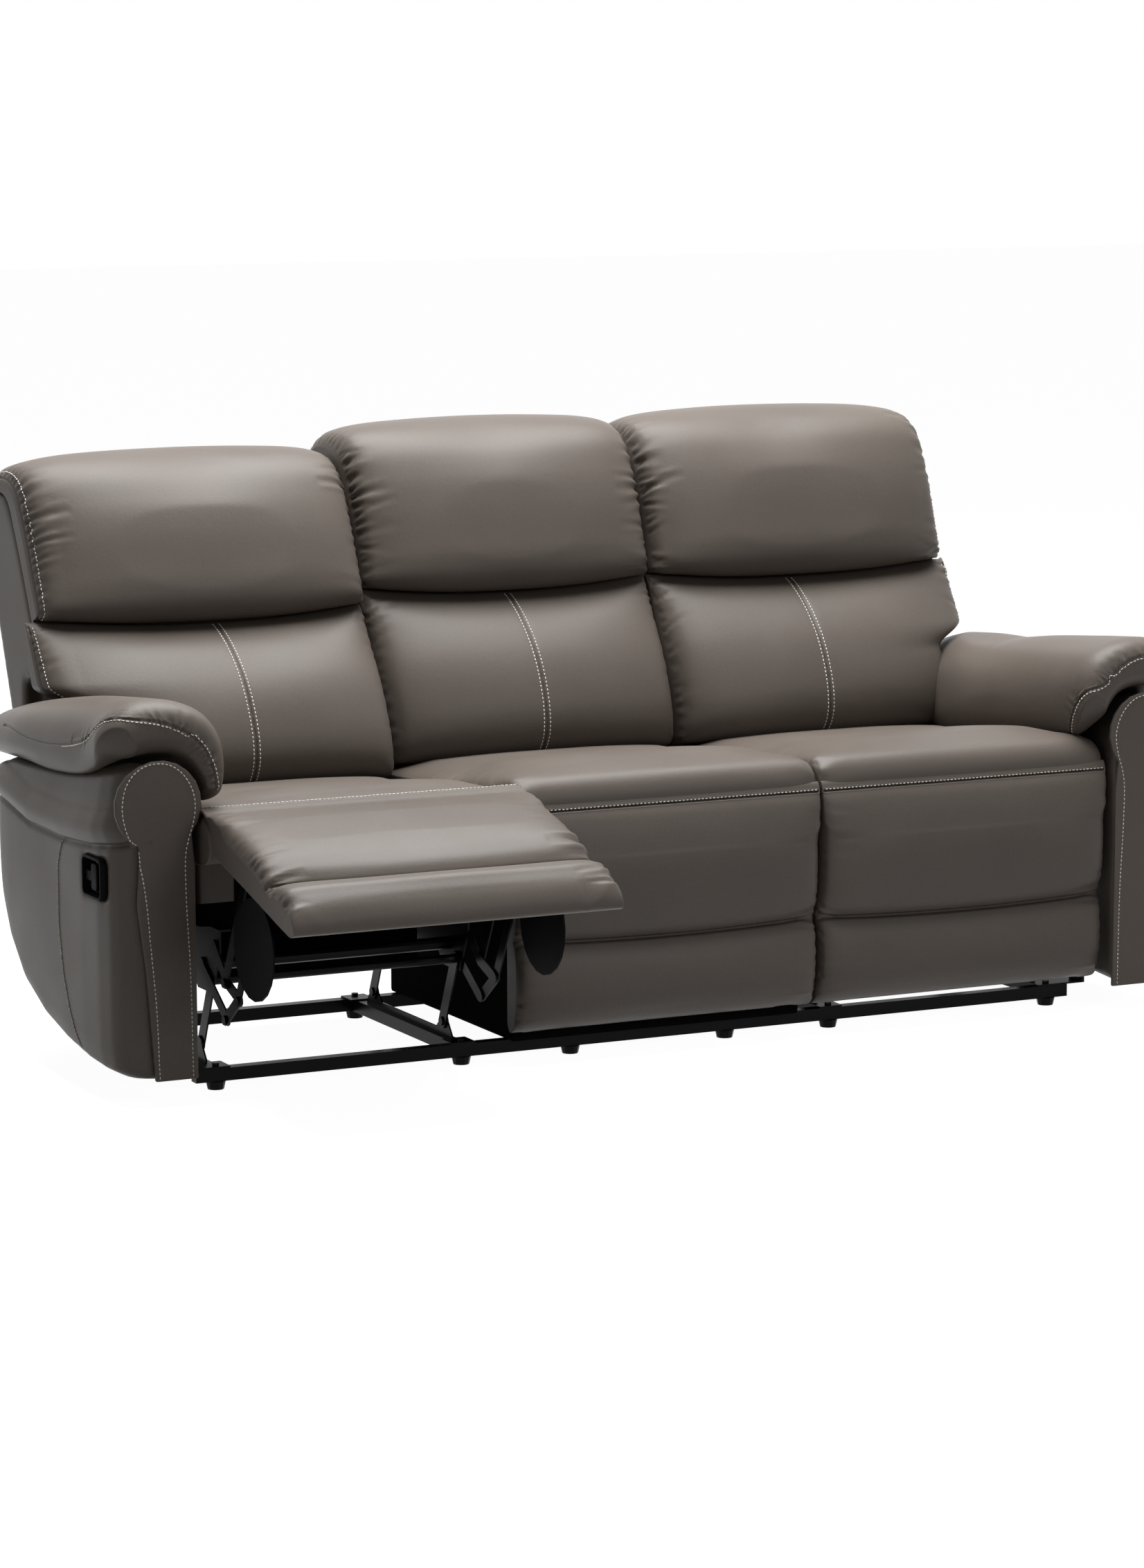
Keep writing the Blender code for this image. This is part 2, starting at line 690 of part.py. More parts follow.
def chassis(name, seat_x, carrier):
    """The two mounting plates under the seat, with their bolting lips and the tube between them."""
    outline = [(chassis_front_y, chassis_top_z), (chassis_front_y, front_axis.y - link_half_width),
               (swing_top(swing_front_y).x - swing_half_width, chassis_low_z),
               (crank_axis[0] + 2 * crank_tube_radius, chassis_low_z),
               (well_front_y, chassis_low_z + 2 * swing_half_width),
               (well_rear_y, chassis_low_z + 2 * swing_half_width),
               (swing_top(swing_rear_y).x - swing_half_width, chassis_low_z),
               (swing_top(swing_rear_y).x + swing_half_width, chassis_low_z),
               (recline_axis[0] + hinge_lug_radius / 2, recline_axis[1] - 2 * hinge_lug_radius)]
    outline += [(recline_axis[0] + hinge_lug_radius * math.cos(math.pi * step / 5),
                 recline_axis[1] + hinge_lug_radius * math.sin(math.pi * step / 5)) for step in range(6)]
    outline += [(recline_axis[0] - hinge_lug_radius, chassis_top_z)]
    holes = [hole(swing_top(y), swing_tube_radius, tube_clearance, 16) for y in (swing_front_y, swing_rear_y)]
    holes.append(hole(crank_axis, crank_tube_radius, tube_clearance, 16))
    pieces = []
    for side in (-1, 1):
        pieces.append(layer_plate(outline, holes, seat_x, side, "mount"))
        lip = span(seat_x, side, layers["mount"] + plate_thickness - chassis_lip_width,
                   layers["mount"] + plate_thickness)
        pieces.append(block((lip[0], chassis_front_y, chassis_top_z - plate_thickness),
                            (lip[1], chassis_rear_y, chassis_top_z)))
        pieces.append(rivet(front_axis, seat_x, side, "mount", "crank", headed=False))
        pin_start = layers["mount"] - plate_gap - hinge_lug_width
        pin_end = layers["mount"] + plate_thickness / 2
        pieces.append(rod((seat_x + side * pin_start, *recline_axis),
                          (seat_x + side * pin_end, *recline_axis), pin_radius))
    reach = layers["mount"] + plate_thickness / 2
    tube = rod((seat_x - reach, *chassis_tube_at), (seat_x + reach, *chassis_tube_at),
               chassis_tube_radius)
    finished(joined(tube, pieces), name, "steel", carrier)


def seat_box(name, seat_x, carrier):
    """The upholstered box: padded cheeks at the front, a lined recess between them and the spring well."""
    low_z = chassis_top_z + touch_gap
    box_half_width, box_nose_half_width = seat_edge_x - box_inset, seat_edge_x - box_nose_inset
    well_half_width = seat_edge_x - well_inset
    shape = block((seat_x - box_half_width, box_front_y, low_z),
                  (seat_x + box_half_width, box_rear_y, box_top_z), box_edge)
    recess = block((seat_x - box_nose_half_width, box_front_y - box_nose_depth, low_z - box_nose_depth),
                   (seat_x + box_nose_half_width, box_front_y + box_nose_depth, box_top_z - box_nose_depth))
    shape = joined(shape, [recess], "DIFFERENCE")
    well = block((seat_x - well_half_width, well_front_y, well_low_z),
                 (seat_x + well_half_width, well_rear_y, low_z + box_nose_depth))
    finished(joined(shape, [well]), name, "leather", carrier)


def crank(name, seat_x, carrier):
    """The torque tube with a crank welded to each end."""
    outline = strap([crank_axis, crank_end], link_half_width)
    reach = layers["crank"] + plate_thickness / 2
    tube = rod((seat_x - reach, *crank_axis), (seat_x + reach, *crank_axis), crank_tube_radius)
    pieces = []
    for side in (-1, 1):
        arm = layer_plate(outline, [], seat_x, side, "crank")
        low, high = span(seat_x, side, layers["crank"], layers["crank"] + plate_thickness)
        boss = rod((low, *crank_axis), (high, *crank_axis), crank_tube_radius * 1.2)
        pieces.append(joined(arm, [boss, rivet(crank_end, seat_x, side, "crank", "carrier")]))
    finished(joined(tube, pieces), name, "steel", carrier)


def footrest_board(name, seat_x, carrier):
    """The plywood board behind the pad, with the two steel brackets that the links hold."""
    face = pad_top_shut[0] + pad_inner + touch_gap
    back = face + board_thickness
    top = pad_top_shut[1] - board_from_top
    board_half_width = seat_edge_x - board_inset
    shape = block((seat_x - board_half_width, face, top - board_length),
                  (seat_x + board_half_width, back, top))
    low, high = pad_top_shut[1] - bracket_bottom, pad_top_shut[1] - bracket_top
    corner = bracket_depth / 2
    outline = [(back - overrun, low), (back + corner, low), (back + bracket_depth, low + corner),
               (back + bracket_depth, high - corner), (back + corner, high), (back - overrun, high)]
    pieces = []
    for side in (-1, 1):
        bracket = layer_plate(outline, [], seat_x, side, "crank")
        pins = [rivet(at, seat_x, side, "crank", "carrier") for at in (carrier_shut, guide_shut)]
        pieces.append(joined(bracket, pins))
    finished(joined(shape, pieces), name, "board", carrier)


def shield(name, seat_x, side, carrier):
    """The oval plastic finger guard beside the links, with its foot against the board."""
    face = pad_top_shut[0] + pad_inner + touch_gap + board_thickness + touch_gap
    centre_y = pad_top_shut[0] + shield_centre[1]
    centre_z = pad_top_shut[1] - shield_centre[0]
    outline = [(centre_y + shield_radius_out * math.cos(math.tau * step / 20),
                centre_z + shield_radius_along * math.sin(math.tau * step / 20)) for step in range(20)]
    low = span(seat_x, side, shield_offset, shield_offset + shield_thickness)[0]
    shape = plate(outline, [], low, shield_thickness)
    web = span(seat_x, side, shield_offset, shield_offset + shield_thickness)
    foot = span(seat_x, side, shield_offset - shield_foot, shield_offset + shield_thickness / 2)
    low_z, high_z = centre_z - shield_foot, centre_z + shield_foot
    shape = joined(shape, [block((web[0], face, low_z), (web[1], centre_y - shield_radius_out / 2, high_z)),
                           block((foot[0], face, low_z), (foot[1], face + shield_thickness, high_z))])
    finished(shape, name, "plastic", carrier)


def recliner(hand, sign, opened, crease_share):
    seat_x = sign * seat_pitch
    swing = opened * swing_turn
    turn = -opened * footrest_turn
    front_swing = joint(f"{hand}_front_swing_axis", (seat_x, swing_front_y, swing_pivot_z), root, swing)
    rear_swing = joint(f"{hand}_rear_swing_axis", (seat_x, swing_rear_y, swing_pivot_z), root, swing)
    seat = joint(f"{hand}_seat_axis", (seat_x, *swing_top(swing_front_y)), front_swing, -swing)
    crank_joint = joint(f"{hand}_crank_axis", (seat_x, *crank_axis), seat, turn)
    front_joint = joint(f"{hand}_front_link_axis", (seat_x, *front_axis), seat, turn)
    carrier_joint = joint(f"{hand}_carrier_axis", (seat_x, *crank_end), crank_joint, -turn)
    guide_joint = joint(f"{hand}_guide_axis", (seat_x, *guide_end), front_joint, -turn)
    footrest = joint(f"{hand}_footrest_axis", (seat_x, *carrier_shut), carrier_joint, turn)
    back = joint(f"{hand}_recline_axis", (seat_x, *recline_axis), seat, -opened * recline_shown)

    swing_frame(f"{hand}_front_swing_frame", seat_x, swing_front_y, front_swing)
    swing_frame(f"{hand}_rear_swing_frame", seat_x, swing_rear_y, rear_swing)
    chassis(f"{hand}_seat_chassis", seat_x, seat)
    seat_box(f"{hand}_seat_box", seat_x, seat)
    seat_cushion(hand, seat_x, seat)
    crank(f"{hand}_footrest_crank", seat_x, crank_joint)
    for side, place in ((sign, "outer"), (-sign, "inner")):
        link = layer_plate(strap([front_axis, guide_end, front_end], link_half_width), [hole(front_axis)],
                           seat_x, side, "crank")
        pins = [rivet(at, seat_x, side, "crank", "carrier") for at in (front_end, guide_end)]
        finished(joined(link, pins), f"{hand}_{place}_front_link", "steel", front_joint)
        holes = [hole(at) for at in (crank_end, front_end, carrier_shut)]
        link = layer_plate(strap([crank_end, front_end, carrier_shut], link_half_width), holes,
                           seat_x, side, "carrier")
        finished(link, f"{hand}_{place}_carrier_link", "steel", carrier_joint)
        holes = [hole(at) for at in (guide_end, guide_shut)]
        link = layer_plate(strap([guide_end, guide_shut], link_half_width), holes, seat_x, side, "carrier")
        finished(link, f"{hand}_{place}_guide_link", "steel", guide_joint)
        shield(f"{hand}_{place}_shield", seat_x, side, footrest)
    footrest_board(f"{hand}_footrest_board", seat_x, footrest)
    front_pad(f"{hand}_footrest_pad", seat_x, crease_share, footrest)
    back_frame(hand, seat_x, sign, wing_reach, back)
    back_cushions(hand, seat_x, sign, wing_reach, back)


open_crease_share = 0.66
shut_crease_share = 0.60
recliner("left", -1, 1.0, open_crease_share)
recliner("right", 1, 0.0, shut_crease_share)


# Middle seat, fixed on the rails
middle_box_half_width = seat_edge_x - middle_box_inset
middle_box_front_y = pad_top_shut[0] + pad_inner + touch_gap
middle_box_rear_y = frame_front_y - touch_gap
finished(block((-middle_box_half_width, middle_box_front_y, rail_top_z + touch_gap),
               (middle_box_half_width, middle_box_rear_y, box_top_z), box_edge), "middle_seat_box", "lining")
seat_cushion("middle", 0.0)
front_pad("middle_front_panel", 0.0, shut_crease_share)
back_frame("middle", 0.0, 1, 0.0)
back_cushions("middle", 0.0, 1, 0.0)


# Arms
arm_outline_shares = ((0.06, 0.0), (0.0, 0.04), (0.0, 0.35), (0.0, 0.60), (0.0, 0.80), (0.04, 0.87),
                      (0.30, 0.95), (0.64, 0.99), (0.90, 0.96), (0.97, 0.84), (0.97, 0.60), (0.97, 0.33),
                      (0.96, 0.04), (0.90, 0.0))
# Along the arm: place, how far out the outer side stands, how high its underside is, how high its top is
arm_station_shares = ((0.0, 0.66, 0.0, 0.96), (0.025, 0.86, 0.0, 0.985), (0.09, 1.0, 0.0, 0.985),
                      (0.40, 1.0, 0.03, 0.92), (0.80, 1.0, 0.14, 0.89), (0.94, 0.98, 0.40, 0.88),
                      (1.0, 0.92, 0.56, 0.84))
# Along the arm pad: place, how far towards the rear section, scale about the centre, how far it sinks
arm_pad_station_shares = ((0.0, 0.0, 0.95, 0.0), (0.025, 0.0, 1.0, 0.0), (0.16, 0.12, 1.0, 0.0),
                          (0.32, 0.36, 1.0, 0.0), (0.60, 0.84, 1.0, 0.0), (0.90, 1.0, 0.98, 0.5),
                          (1.0, 1.0, 0.70, 1.0))


def arm_body(sign):
    rings = []
    for along, out_share, low_share, top_share in arm_station_shares:
        ring = []
        for across, up in arm_outline_shares:
            rise = low_share + (top_share - low_share) * up
            ring.append((sign * (arm_inner_x + arm_width * across * out_share),
                         arm_front_y + arm_length * along, arm_low_z + arm_height * rise))
        rings.append(ring)
    return rounded(loft(rings))


def grown(shape, distance):
    """A copy of a shape, a little larger all round, to cut its seat out of the piece that lies on it."""
    copy = bpy.data.objects.new("grown", shape.data.copy())
    bpy.context.scene.collection.objects.link(copy)
    growth = copy.modifiers.new("growth", "DISPLACE")
    growth.strength = distance
    growth.mid_level = 0.0
    return baked(copy)


def arm_pad(name, sign, body):
    centre = Vector(arm_pad_centre)
    rings = []
    for along, rear_share, scale, sink_share in arm_pad_station_shares:
        ring = []
        for front, rear in zip(pad_front_section, pad_rear_section):
            point = centre + (Vector(front).lerp(Vector(rear), rear_share) - centre) * scale
            ring.append((sign * (arm_inner_x + point.x), arm_pad_front_y + arm_pad_length * along,
                         arm_top_z + point.y - arm_pad_sink * sink_share))
        rings.append(ring)
    pad = baked(rounded(loft(rings)))
    finished(joined(pad, [grown(body, touch_gap)], "DIFFERENCE"), name, "leather")


def keyhole_outline(sign):
    """The bulb and tail of the panel on the arm's front, in X and Z."""
    out, up = bulb_centre
    start = -math.acos((panel_outer[-1][0] - out) / bulb_radius)
    end = math.pi + math.acos((out - panel_inner[0][0]) / bulb_radius)
    arc = []
    for step in range(17):
        angle = start + (end - start) * step / 16
        arc.append((out + bulb_radius * math.cos(angle), up + bulb_radius * math.sin(angle)))
    outline = (*panel_outer, *arc, *panel_inner)
    return [(sign * (arm_inner_x + across), arm_top_z + height) for across, height in outline]


def handle(hand, sign):
    """The release cup let into the arm's outer side, and the paddle hinged at its rear end."""
    outer_x = arm_inner_x + arm_width * handle_out_share
    mouth_x = outer_x + bezel_stand
    low_y, high_y = cup_y - cup_length / 2, cup_y + cup_length / 2
    low_z, high_z = cup_z - cup_height / 2, cup_z + cup_height / 2

    def across(near, far, from_y, to_y, from_z, to_z, edge=0.0):
        xs = sorted((sign * near, sign * far))
        return block((xs[0], from_y, from_z), (xs[1], to_y, to_z), edge)

    cup = across(mouth_x - cup_depth, mouth_x, low_y, high_y, low_z, high_z)
    bezel = across(mouth_x - bezel_thickness / 2, mouth_x + bezel_thickness / 2, low_y - bezel_width,
                   high_y + bezel_width, low_z - bezel_width, high_z + bezel_width)
    inside = across(mouth_x - cup_depth + cup_wall, mouth_x + cup_depth, low_y + cup_wall, high_y - cup_wall,
                    low_z + cup_wall, high_z - cup_wall)
    finished(joined(joined(cup, [bezel]), [inside], "DIFFERENCE"), f"{hand}_handle_cup", "plastic")

    hinge_y = high_y - cup_wall - touch_gap * 3 - paddle_hinge_radius
    hinge_x = mouth_x - paddle_set_in
    hinge = joint(f"{hand}_handle_axis", (sign * hinge_x, hinge_y, cup_z))
    hinge["empty"].parent = root["empty"]
    pin_half = cup_height / 2 - cup_wall - touch_gap
    pin = rod((sign * hinge_x, hinge_y, cup_z - pin_half), (sign * hinge_x, hinge_y, cup_z + pin_half),
              paddle_hinge_radius, 12)
    stem = across(hinge_x - paddle_thickness / 2, hinge_x + paddle_thickness / 2,
                  hinge_y - paddle_stem_length - overrun, hinge_y, cup_z - paddle_stem_height / 2,
                  cup_z + paddle_stem_height / 2)
    grip = across(hinge_x - paddle_thickness / 2, hinge_x + paddle_thickness / 2,
                  hinge_y - paddle_length, hinge_y - paddle_stem_length, cup_z - paddle_height / 2,
                  cup_z + paddle_height / 2)
    finished(joined(pin, [joined(grip, [stem])]), f"{hand}_handle_paddle", "plastic", hinge)
    return across(mouth_x - cup_depth - touch_gap, mouth_x + cup_depth, low_y - touch_gap,
                  high_y + touch_gap, low_z - touch_gap, high_z + touch_gap)


def arm(hand, sign):
    body = baked(arm_body(sign))
    arm_pad(f"{hand}_arm_pad", sign, body)
    pocket = handle(hand, sign)
    pocket.name = f"{hand}_handle_pocket"
    pocket.hide_render = True
    pocket.display_type = "WIRE"
    bpy.context.scene.collection.objects.unlink(pocket)
    cutters.objects.link(pocket)
    pocket.parent = root["empty"]
    opening = body.modifiers.new("handle_pocket", "BOOLEAN")
    opening.operation = "DIFFERENCE"
    opening.solver = "EXACT"
    opening.object = pocket
    finished(body, f"{hand}_arm_body", "leather")
    panel = plate(keyhole_outline(sign), [], arm_front_y - touch_gap - front_panel_thickness,
                  front_panel_thickness, "Y")
    finished(panel, f"{hand}_arm_front_panel", "leather")


arm("left", -1)
arm("right", 1)
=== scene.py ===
# The looks of a three-seat reclining sofa in taupe leather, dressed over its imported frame.
#
# Sections of the soft parts are given as (Y, Z) pairs with the seats shut, Y counted back from the line
# of the front rail, as the sofa is built; the left seat is shown open, so its pieces are then put there.
import json
import math

import bpy
import numpy as np
from mathutils import Matrix, Vector
from mathutils.bvhtree import BVHTree
from mathutils.kdtree import KDTree

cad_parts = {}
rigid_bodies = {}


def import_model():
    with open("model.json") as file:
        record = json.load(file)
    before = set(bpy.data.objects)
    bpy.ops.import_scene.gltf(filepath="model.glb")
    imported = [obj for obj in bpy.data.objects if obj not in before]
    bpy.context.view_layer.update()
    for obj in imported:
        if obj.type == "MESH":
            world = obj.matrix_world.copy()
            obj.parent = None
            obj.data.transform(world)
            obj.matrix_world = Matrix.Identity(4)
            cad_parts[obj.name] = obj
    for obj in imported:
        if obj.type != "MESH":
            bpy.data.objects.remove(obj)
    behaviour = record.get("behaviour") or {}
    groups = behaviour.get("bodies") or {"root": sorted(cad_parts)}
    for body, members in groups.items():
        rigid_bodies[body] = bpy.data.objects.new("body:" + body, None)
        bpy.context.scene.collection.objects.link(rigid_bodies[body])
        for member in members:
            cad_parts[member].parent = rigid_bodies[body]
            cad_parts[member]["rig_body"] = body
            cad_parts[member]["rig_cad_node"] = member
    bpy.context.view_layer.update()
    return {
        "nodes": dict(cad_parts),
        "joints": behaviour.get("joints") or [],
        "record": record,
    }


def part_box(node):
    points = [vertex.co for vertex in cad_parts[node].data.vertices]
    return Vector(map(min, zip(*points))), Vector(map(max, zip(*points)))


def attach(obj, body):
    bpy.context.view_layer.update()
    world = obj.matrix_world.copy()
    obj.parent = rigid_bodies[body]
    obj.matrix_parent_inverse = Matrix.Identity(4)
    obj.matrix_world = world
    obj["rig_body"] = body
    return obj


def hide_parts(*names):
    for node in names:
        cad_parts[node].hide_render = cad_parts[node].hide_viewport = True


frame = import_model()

scene = bpy.context.scene
for loaded in bpy.context.selected_objects:
    loaded.select_set(False)


# Camera and studio. A long lens from the front left, a white floor that keeps the sofa's shadow, one
# large soft lamp overhead, a smaller one in front on the right, and a pale sky all round.
camera_place = (-3.7626, -7.5449, 1.7058)
camera_turn, camera_dip, camera_tilt = math.radians(26.119), math.radians(8.557), math.radians(0.106)
image_height = 2264
focal_pixels = 6983.17

lens = bpy.data.cameras.new("camera")
lens.sensor_width = 36.0
lens.lens = lens.sensor_width * focal_pixels / image_height
camera = bpy.data.objects.new("camera", lens)
scene.collection.objects.link(camera)
looks = Vector((math.sin(camera_turn) * math.cos(camera_dip), math.cos(camera_turn) * math.cos(camera_dip),
                -math.sin(camera_dip)))
camera.location = camera_place
camera.rotation_euler = (looks.to_track_quat("-Z", "Y").to_matrix()
                         @ Matrix.Rotation(-camera_tilt, 3, "Z")).to_euler()
scene.camera = camera
scene.view_settings.view_transform = "Standard"


def node(tree, kind, inputs=(), fed=(), **settings):
    """A new shader node: its settings, the values of its inputs, and the sockets that feed others of them."""
    made = tree.nodes.new("ShaderNode" + kind)
    for name, value in settings.items():
        setattr(made, name, value)
    for name, value in dict(inputs).items():
        made.inputs[name].default_value = value
    for name, socket in dict(fed).items():
        tree.links.new(socket, made.inputs[name])
    return made


def seen_directly(tree):
    """1 for rays from the camera, off gloss and through glass, which see the background itself."""
    rays = node(tree, "LightPath").outputs
    total = rays["Is Camera Ray"]
    for ray in ("Is Glossy Ray", "Is Transmission Ray"):
        total = node(tree, "Math", fed={0: total, 1: rays[ray]}, operation="MAXIMUM").outputs[0]
    return total


white = (1.0, 1.0, 1.0, 1.0)
sky = bpy.data.worlds.new("sky")
scene.world = sky
sky.use_nodes = True
sky_tree = sky.node_tree
sky_light = sky_tree.nodes["Background"]
sky_light.inputs["Color"].default_value = white
sky_light.inputs["Strength"].default_value = 0.075
sky_white = node(sky_tree, "Background", {"Color": white, "Strength": 1.0})
sky_mix = node(sky_tree, "MixShader", fed={"Fac": seen_directly(sky_tree), 1: sky_light.outputs[0],
                                           2: sky_white.outputs[0]})
sky_tree.links.new(sky_mix.outputs[0], sky_tree.nodes["World Output"].inputs["Surface"])

floor_side = 60.0
bpy.ops.mesh.primitive_plane_add(size=floor_side, location=(0.0, 0.0, 0.0))
floor = bpy.context.object
floor.name = "floor"
floor_finish = bpy.data.materials.new("white_floor")
floor_finish.use_nodes = True
floor_tree = floor_finish.node_tree
floor_matt = floor_tree.nodes["Principled BSDF"]
floor_matt.inputs["Base Color"].default_value = (0.24, 0.24, 0.24, 1.0)
floor_matt.inputs["Roughness"].default_value = 1.0
floor_matt.inputs["Specular IOR Level"].default_value = 0.0
floor_glow = node(floor_tree, "Emission", {"Strength": 0.965})
floor_lit = node(floor_tree, "AddShader", fed={0: floor_matt.outputs[0], 1: floor_glow.outputs[0]})
floor_mix = node(floor_tree, "MixShader", fed={"Fac": seen_directly(floor_tree), 1: floor_matt.outputs[0],
                                               2: floor_lit.outputs[0]})
floor_tree.links.new(floor_mix.outputs[0], floor_tree.nodes["Material Output"].inputs["Surface"])
floor.data.materials.append(floor_finish)

for lamp_name, place, aim, size, power in (
        ("over_lamp", (0.2, 0.45, 4.2), (0.0, 0.0, 0.5), 3.4, 440.0),
        ("front_lamp", (1.6, -5.2, 2.3), (0.0, 0.0, 0.6), 1.8, 44.0)):
    lamp_data = bpy.data.lights.new(lamp_name, "AREA")
    lamp_data.shape = "SQUARE"
    lamp_data.size = size
    lamp_data.energy = power
    lamp = bpy.data.objects.new(lamp_name, lamp_data)
    scene.collection.objects.link(lamp)
    lamp.location = place
    lamp.rotation_euler = (Vector(aim) - Vector(place)).to_track_quat("-Z", "Y").to_euler()


# Base frame, mechanism plates and links: steel tube and pressed plate in satin black enamel. The finger
# guards and the handles are moulded black plastic, the middle box has a black dust cover, and the
# footrest boards are plywood in a dark lining.
def toned(name, colour, scale, detail, stops, shares):
    """A new material whose colour drifts slowly between two shades of one tone: the material, its node
    tree, its shader, the place on the piece, the drift and the colour."""
    material = bpy.data.materials.new(name)
    material.use_nodes = True
    tree = material.node_tree
    place = node(tree, "TexCoord").outputs["Object"]
    tone = node(tree, "TexNoise", {"Scale": scale, "Detail": detail}, {"Vector": place}).outputs["Fac"]
    shades = node(tree, "ValToRGB", fed={"Fac": tone})
    for stop, at, share in zip(shades.color_ramp.elements, stops, shares):
        stop.position = at
        stop.color = (*(part * share for part in colour), 1.0)
    return material, tree, tree.nodes["Principled BSDF"], place, tone, shades.outputs["Color"]


def finish_of(name, colour, roughness, grain_scale, grain_height, tone_scale, tone_share, gloss_share=0.0):
    """A material with a fine grain in its surface and a slow drift in its tone, and perhaps in its gloss."""
    material, tree, shader, place, tone, shade = toned(name, colour, tone_scale, 4.0, (0.3, 0.7),
                                                       (1 - tone_share, 1 + tone_share))
    shader.inputs["Roughness"].default_value = roughness
    tree.links.new(shade, shader.inputs["Base Color"])
    grain = node(tree, "TexNoise", {"Scale": grain_scale, "Detail": 3.0}, {"Vector": place})
    bump = node(tree, "Bump", {"Strength": 1.0, "Distance": grain_height}, {"Height": grain.outputs["Fac"]})
    tree.links.new(bump.outputs["Normal"], shader.inputs["Normal"])
    if gloss_share:
        gloss = node(tree, "MapRange", {"To Min": roughness * (1 - gloss_share),
                                        "To Max": roughness * (1 + gloss_share)}, {"Value": tone})
        tree.links.new(gloss.outputs["Result"], shader.inputs["Roughness"])
    return material


black_enamel = finish_of("black_enamel", (0.0045, 0.0045, 0.005), 0.3, 700.0, 0.00006, 14.0, 0.25, 0.2)
black_plastic = finish_of("black_plastic", (0.0045, 0.0045, 0.0048), 0.5, 1400.0, 0.0001, 20.0, 0.15, 0.15)
dust_cover = finish_of("dust_cover", (0.0045, 0.0045, 0.0045), 0.95, 900.0, 0.0003, 30.0, 0.3)
lined_board = finish_of("lined_board", (0.012, 0.011, 0.01), 0.85, 500.0, 0.00025, 12.0, 0.3)
for finish, sheen in ((black_enamel, 0.07), (black_plastic, 0.03), (dust_cover, 0.02), (lined_board, 0.03)):
    finish.node_tree.nodes["Principled BSDF"].inputs["Specular IOR Level"].default_value = sheen
finish_of_slot = {"steel": black_enamel, "plastic": black_plastic, "lining": dust_cover, "board": lined_board}
for row in frame["record"]["subparts"]:
    if row["material_slot"] in finish_of_slot:
        frame["nodes"][row["node"]].material_slots[0].material = finish_of_slot[row["material_slot"]]


# Seats. Each is foam under pulled leather, rolled over a soft nose; the leather ends at a seam under the
# nose, with one row of off-white stitches above it. The nose is round about the footrest's turning
# point, so that the lip of the footrest slides over it.
rail_y = -0.1697
seat_pitch = 0.585
seat_half_width = 0.2895
nose_radius = 0.0445
place_of_joint = {row["name"]: Vector(row["pos_m"]) for row in frame["joints"]}


def pole_of(hand):
    """The point that the footrest turns about, fixed to its seat."""
    return (place_of_joint[f"{hand}_crank"] + place_of_joint[f"{hand}_footrest_tilt"]
            - place_of_joint[f"{hand}_carrier_links"])


pole = Vector((pole_of("right").y - rail_y, pole_of("right").z))
slide = place_of_joint["left_seat_level"] - place_of_joint["right_seat_level"]
slide.x = 0.0
footrest_turn = math.radians(-75.0)
recline_turn = math.radians(-5.0)


def about_x(angle, centre):
    return Matrix.Translation(centre) @ Matrix.Rotation(angle, 4, "X") @ Matrix.Translation(-centre)


def stand_of(hand, part):
    """Where a piece modelled on the middle seat, shut and upright, stands on the sofa."""
    across = {"left": -seat_pitch, "middle": 0.0, "right": seat_pitch}[hand]
    stand = Matrix.Translation((across, rail_y, 0.0))
    if hand == "left":
        stand = Matrix.Translation(slide) @ stand
        if part == "footrest":
            stand = about_x(footrest_turn, pole_of("left")) @ stand
        if part == "back":
            stand = about_x(recline_turn, place_of_joint["left_recline"]) @ stand
    return stand


def run_of(path):
    """The length of a path up to each of its points."""
    return np.concatenate([[0.0], np.cumsum(np.linalg.norm(np.diff(path, axis=0), axis=1))])


def smooth_line(points, count, close_at=()):
    """A soft curve through the points, read at even steps, or closer together near the places given."""
    points = np.array(points, float)
    points = np.vstack([2 * points[0] - points[1], points, 2 * points[-1] - points[-2]])
    knots = np.concatenate([[0.0], np.cumsum(np.sqrt(np.linalg.norm(np.diff(points, axis=0), axis=1)))])

    def mixed(t, first, last, one, other):
        return ((last - t) * one + (t - first) * other) / (last - first)

    pieces = []
    for k in range(1, len(points) - 2):
        p = points[k - 1:k + 3]
        at = knots[k - 1:k + 3]
        t = np.linspace(at[1], at[2], 16, endpoint=False)[:, None]
        a = [mixed(t, at[i], at[i + 1], p[i], p[i + 1]) for i in range(3)]
        b = [mixed(t, at[i], at[i + 2], a[i], a[i + 1]) for i in range(2)]
        pieces.append(mixed(t, at[1], at[2], *b))
    fine = np.vstack([*pieces, points[-2:-1]])
    run = run_of(fine)
    weight = np.ones(len(run))
    for spot in close_at:
        weight += 4.0 * np.exp(-((run - run[np.linalg.norm(fine - spot, axis=1).argmin()]) / 0.01) ** 2)
    spent = np.concatenate([[0.0], np.cumsum(np.diff(run) * (weight[1:] + weight[:-1]) / 2)])
    even = np.interp(np.linspace(0.0, spent[-1], count), spent, run)
    return np.column_stack([np.interp(even, run, fine[:, i]) for i in range(fine.shape[1])])


def nearest_on(line, points):
    """For each point, the nearest place on a line of straight steps."""
    starts, ends = line[:-1], line[1:]
    along = ends - starts
    part = np.einsum("psk,sk->ps", points[:, None] - starts[None], along) / (along ** 2).sum(1)
    feet = starts[None] + along[None] * np.clip(part, 0.0, 1.0)[..., None]
    best = ((points[:, None] - feet) ** 2).sum(2).argmin(1)
    return feet[np.arange(len(points)), best]


def turned_to(mode):
    bpy.ops.object.mode_set(mode=mode)


def only(piece):
    for other in bpy.context.selected_objects:
        other.select_set(False)
    piece.select_set(True)
    bpy.context.view_layer.objects.active = piece


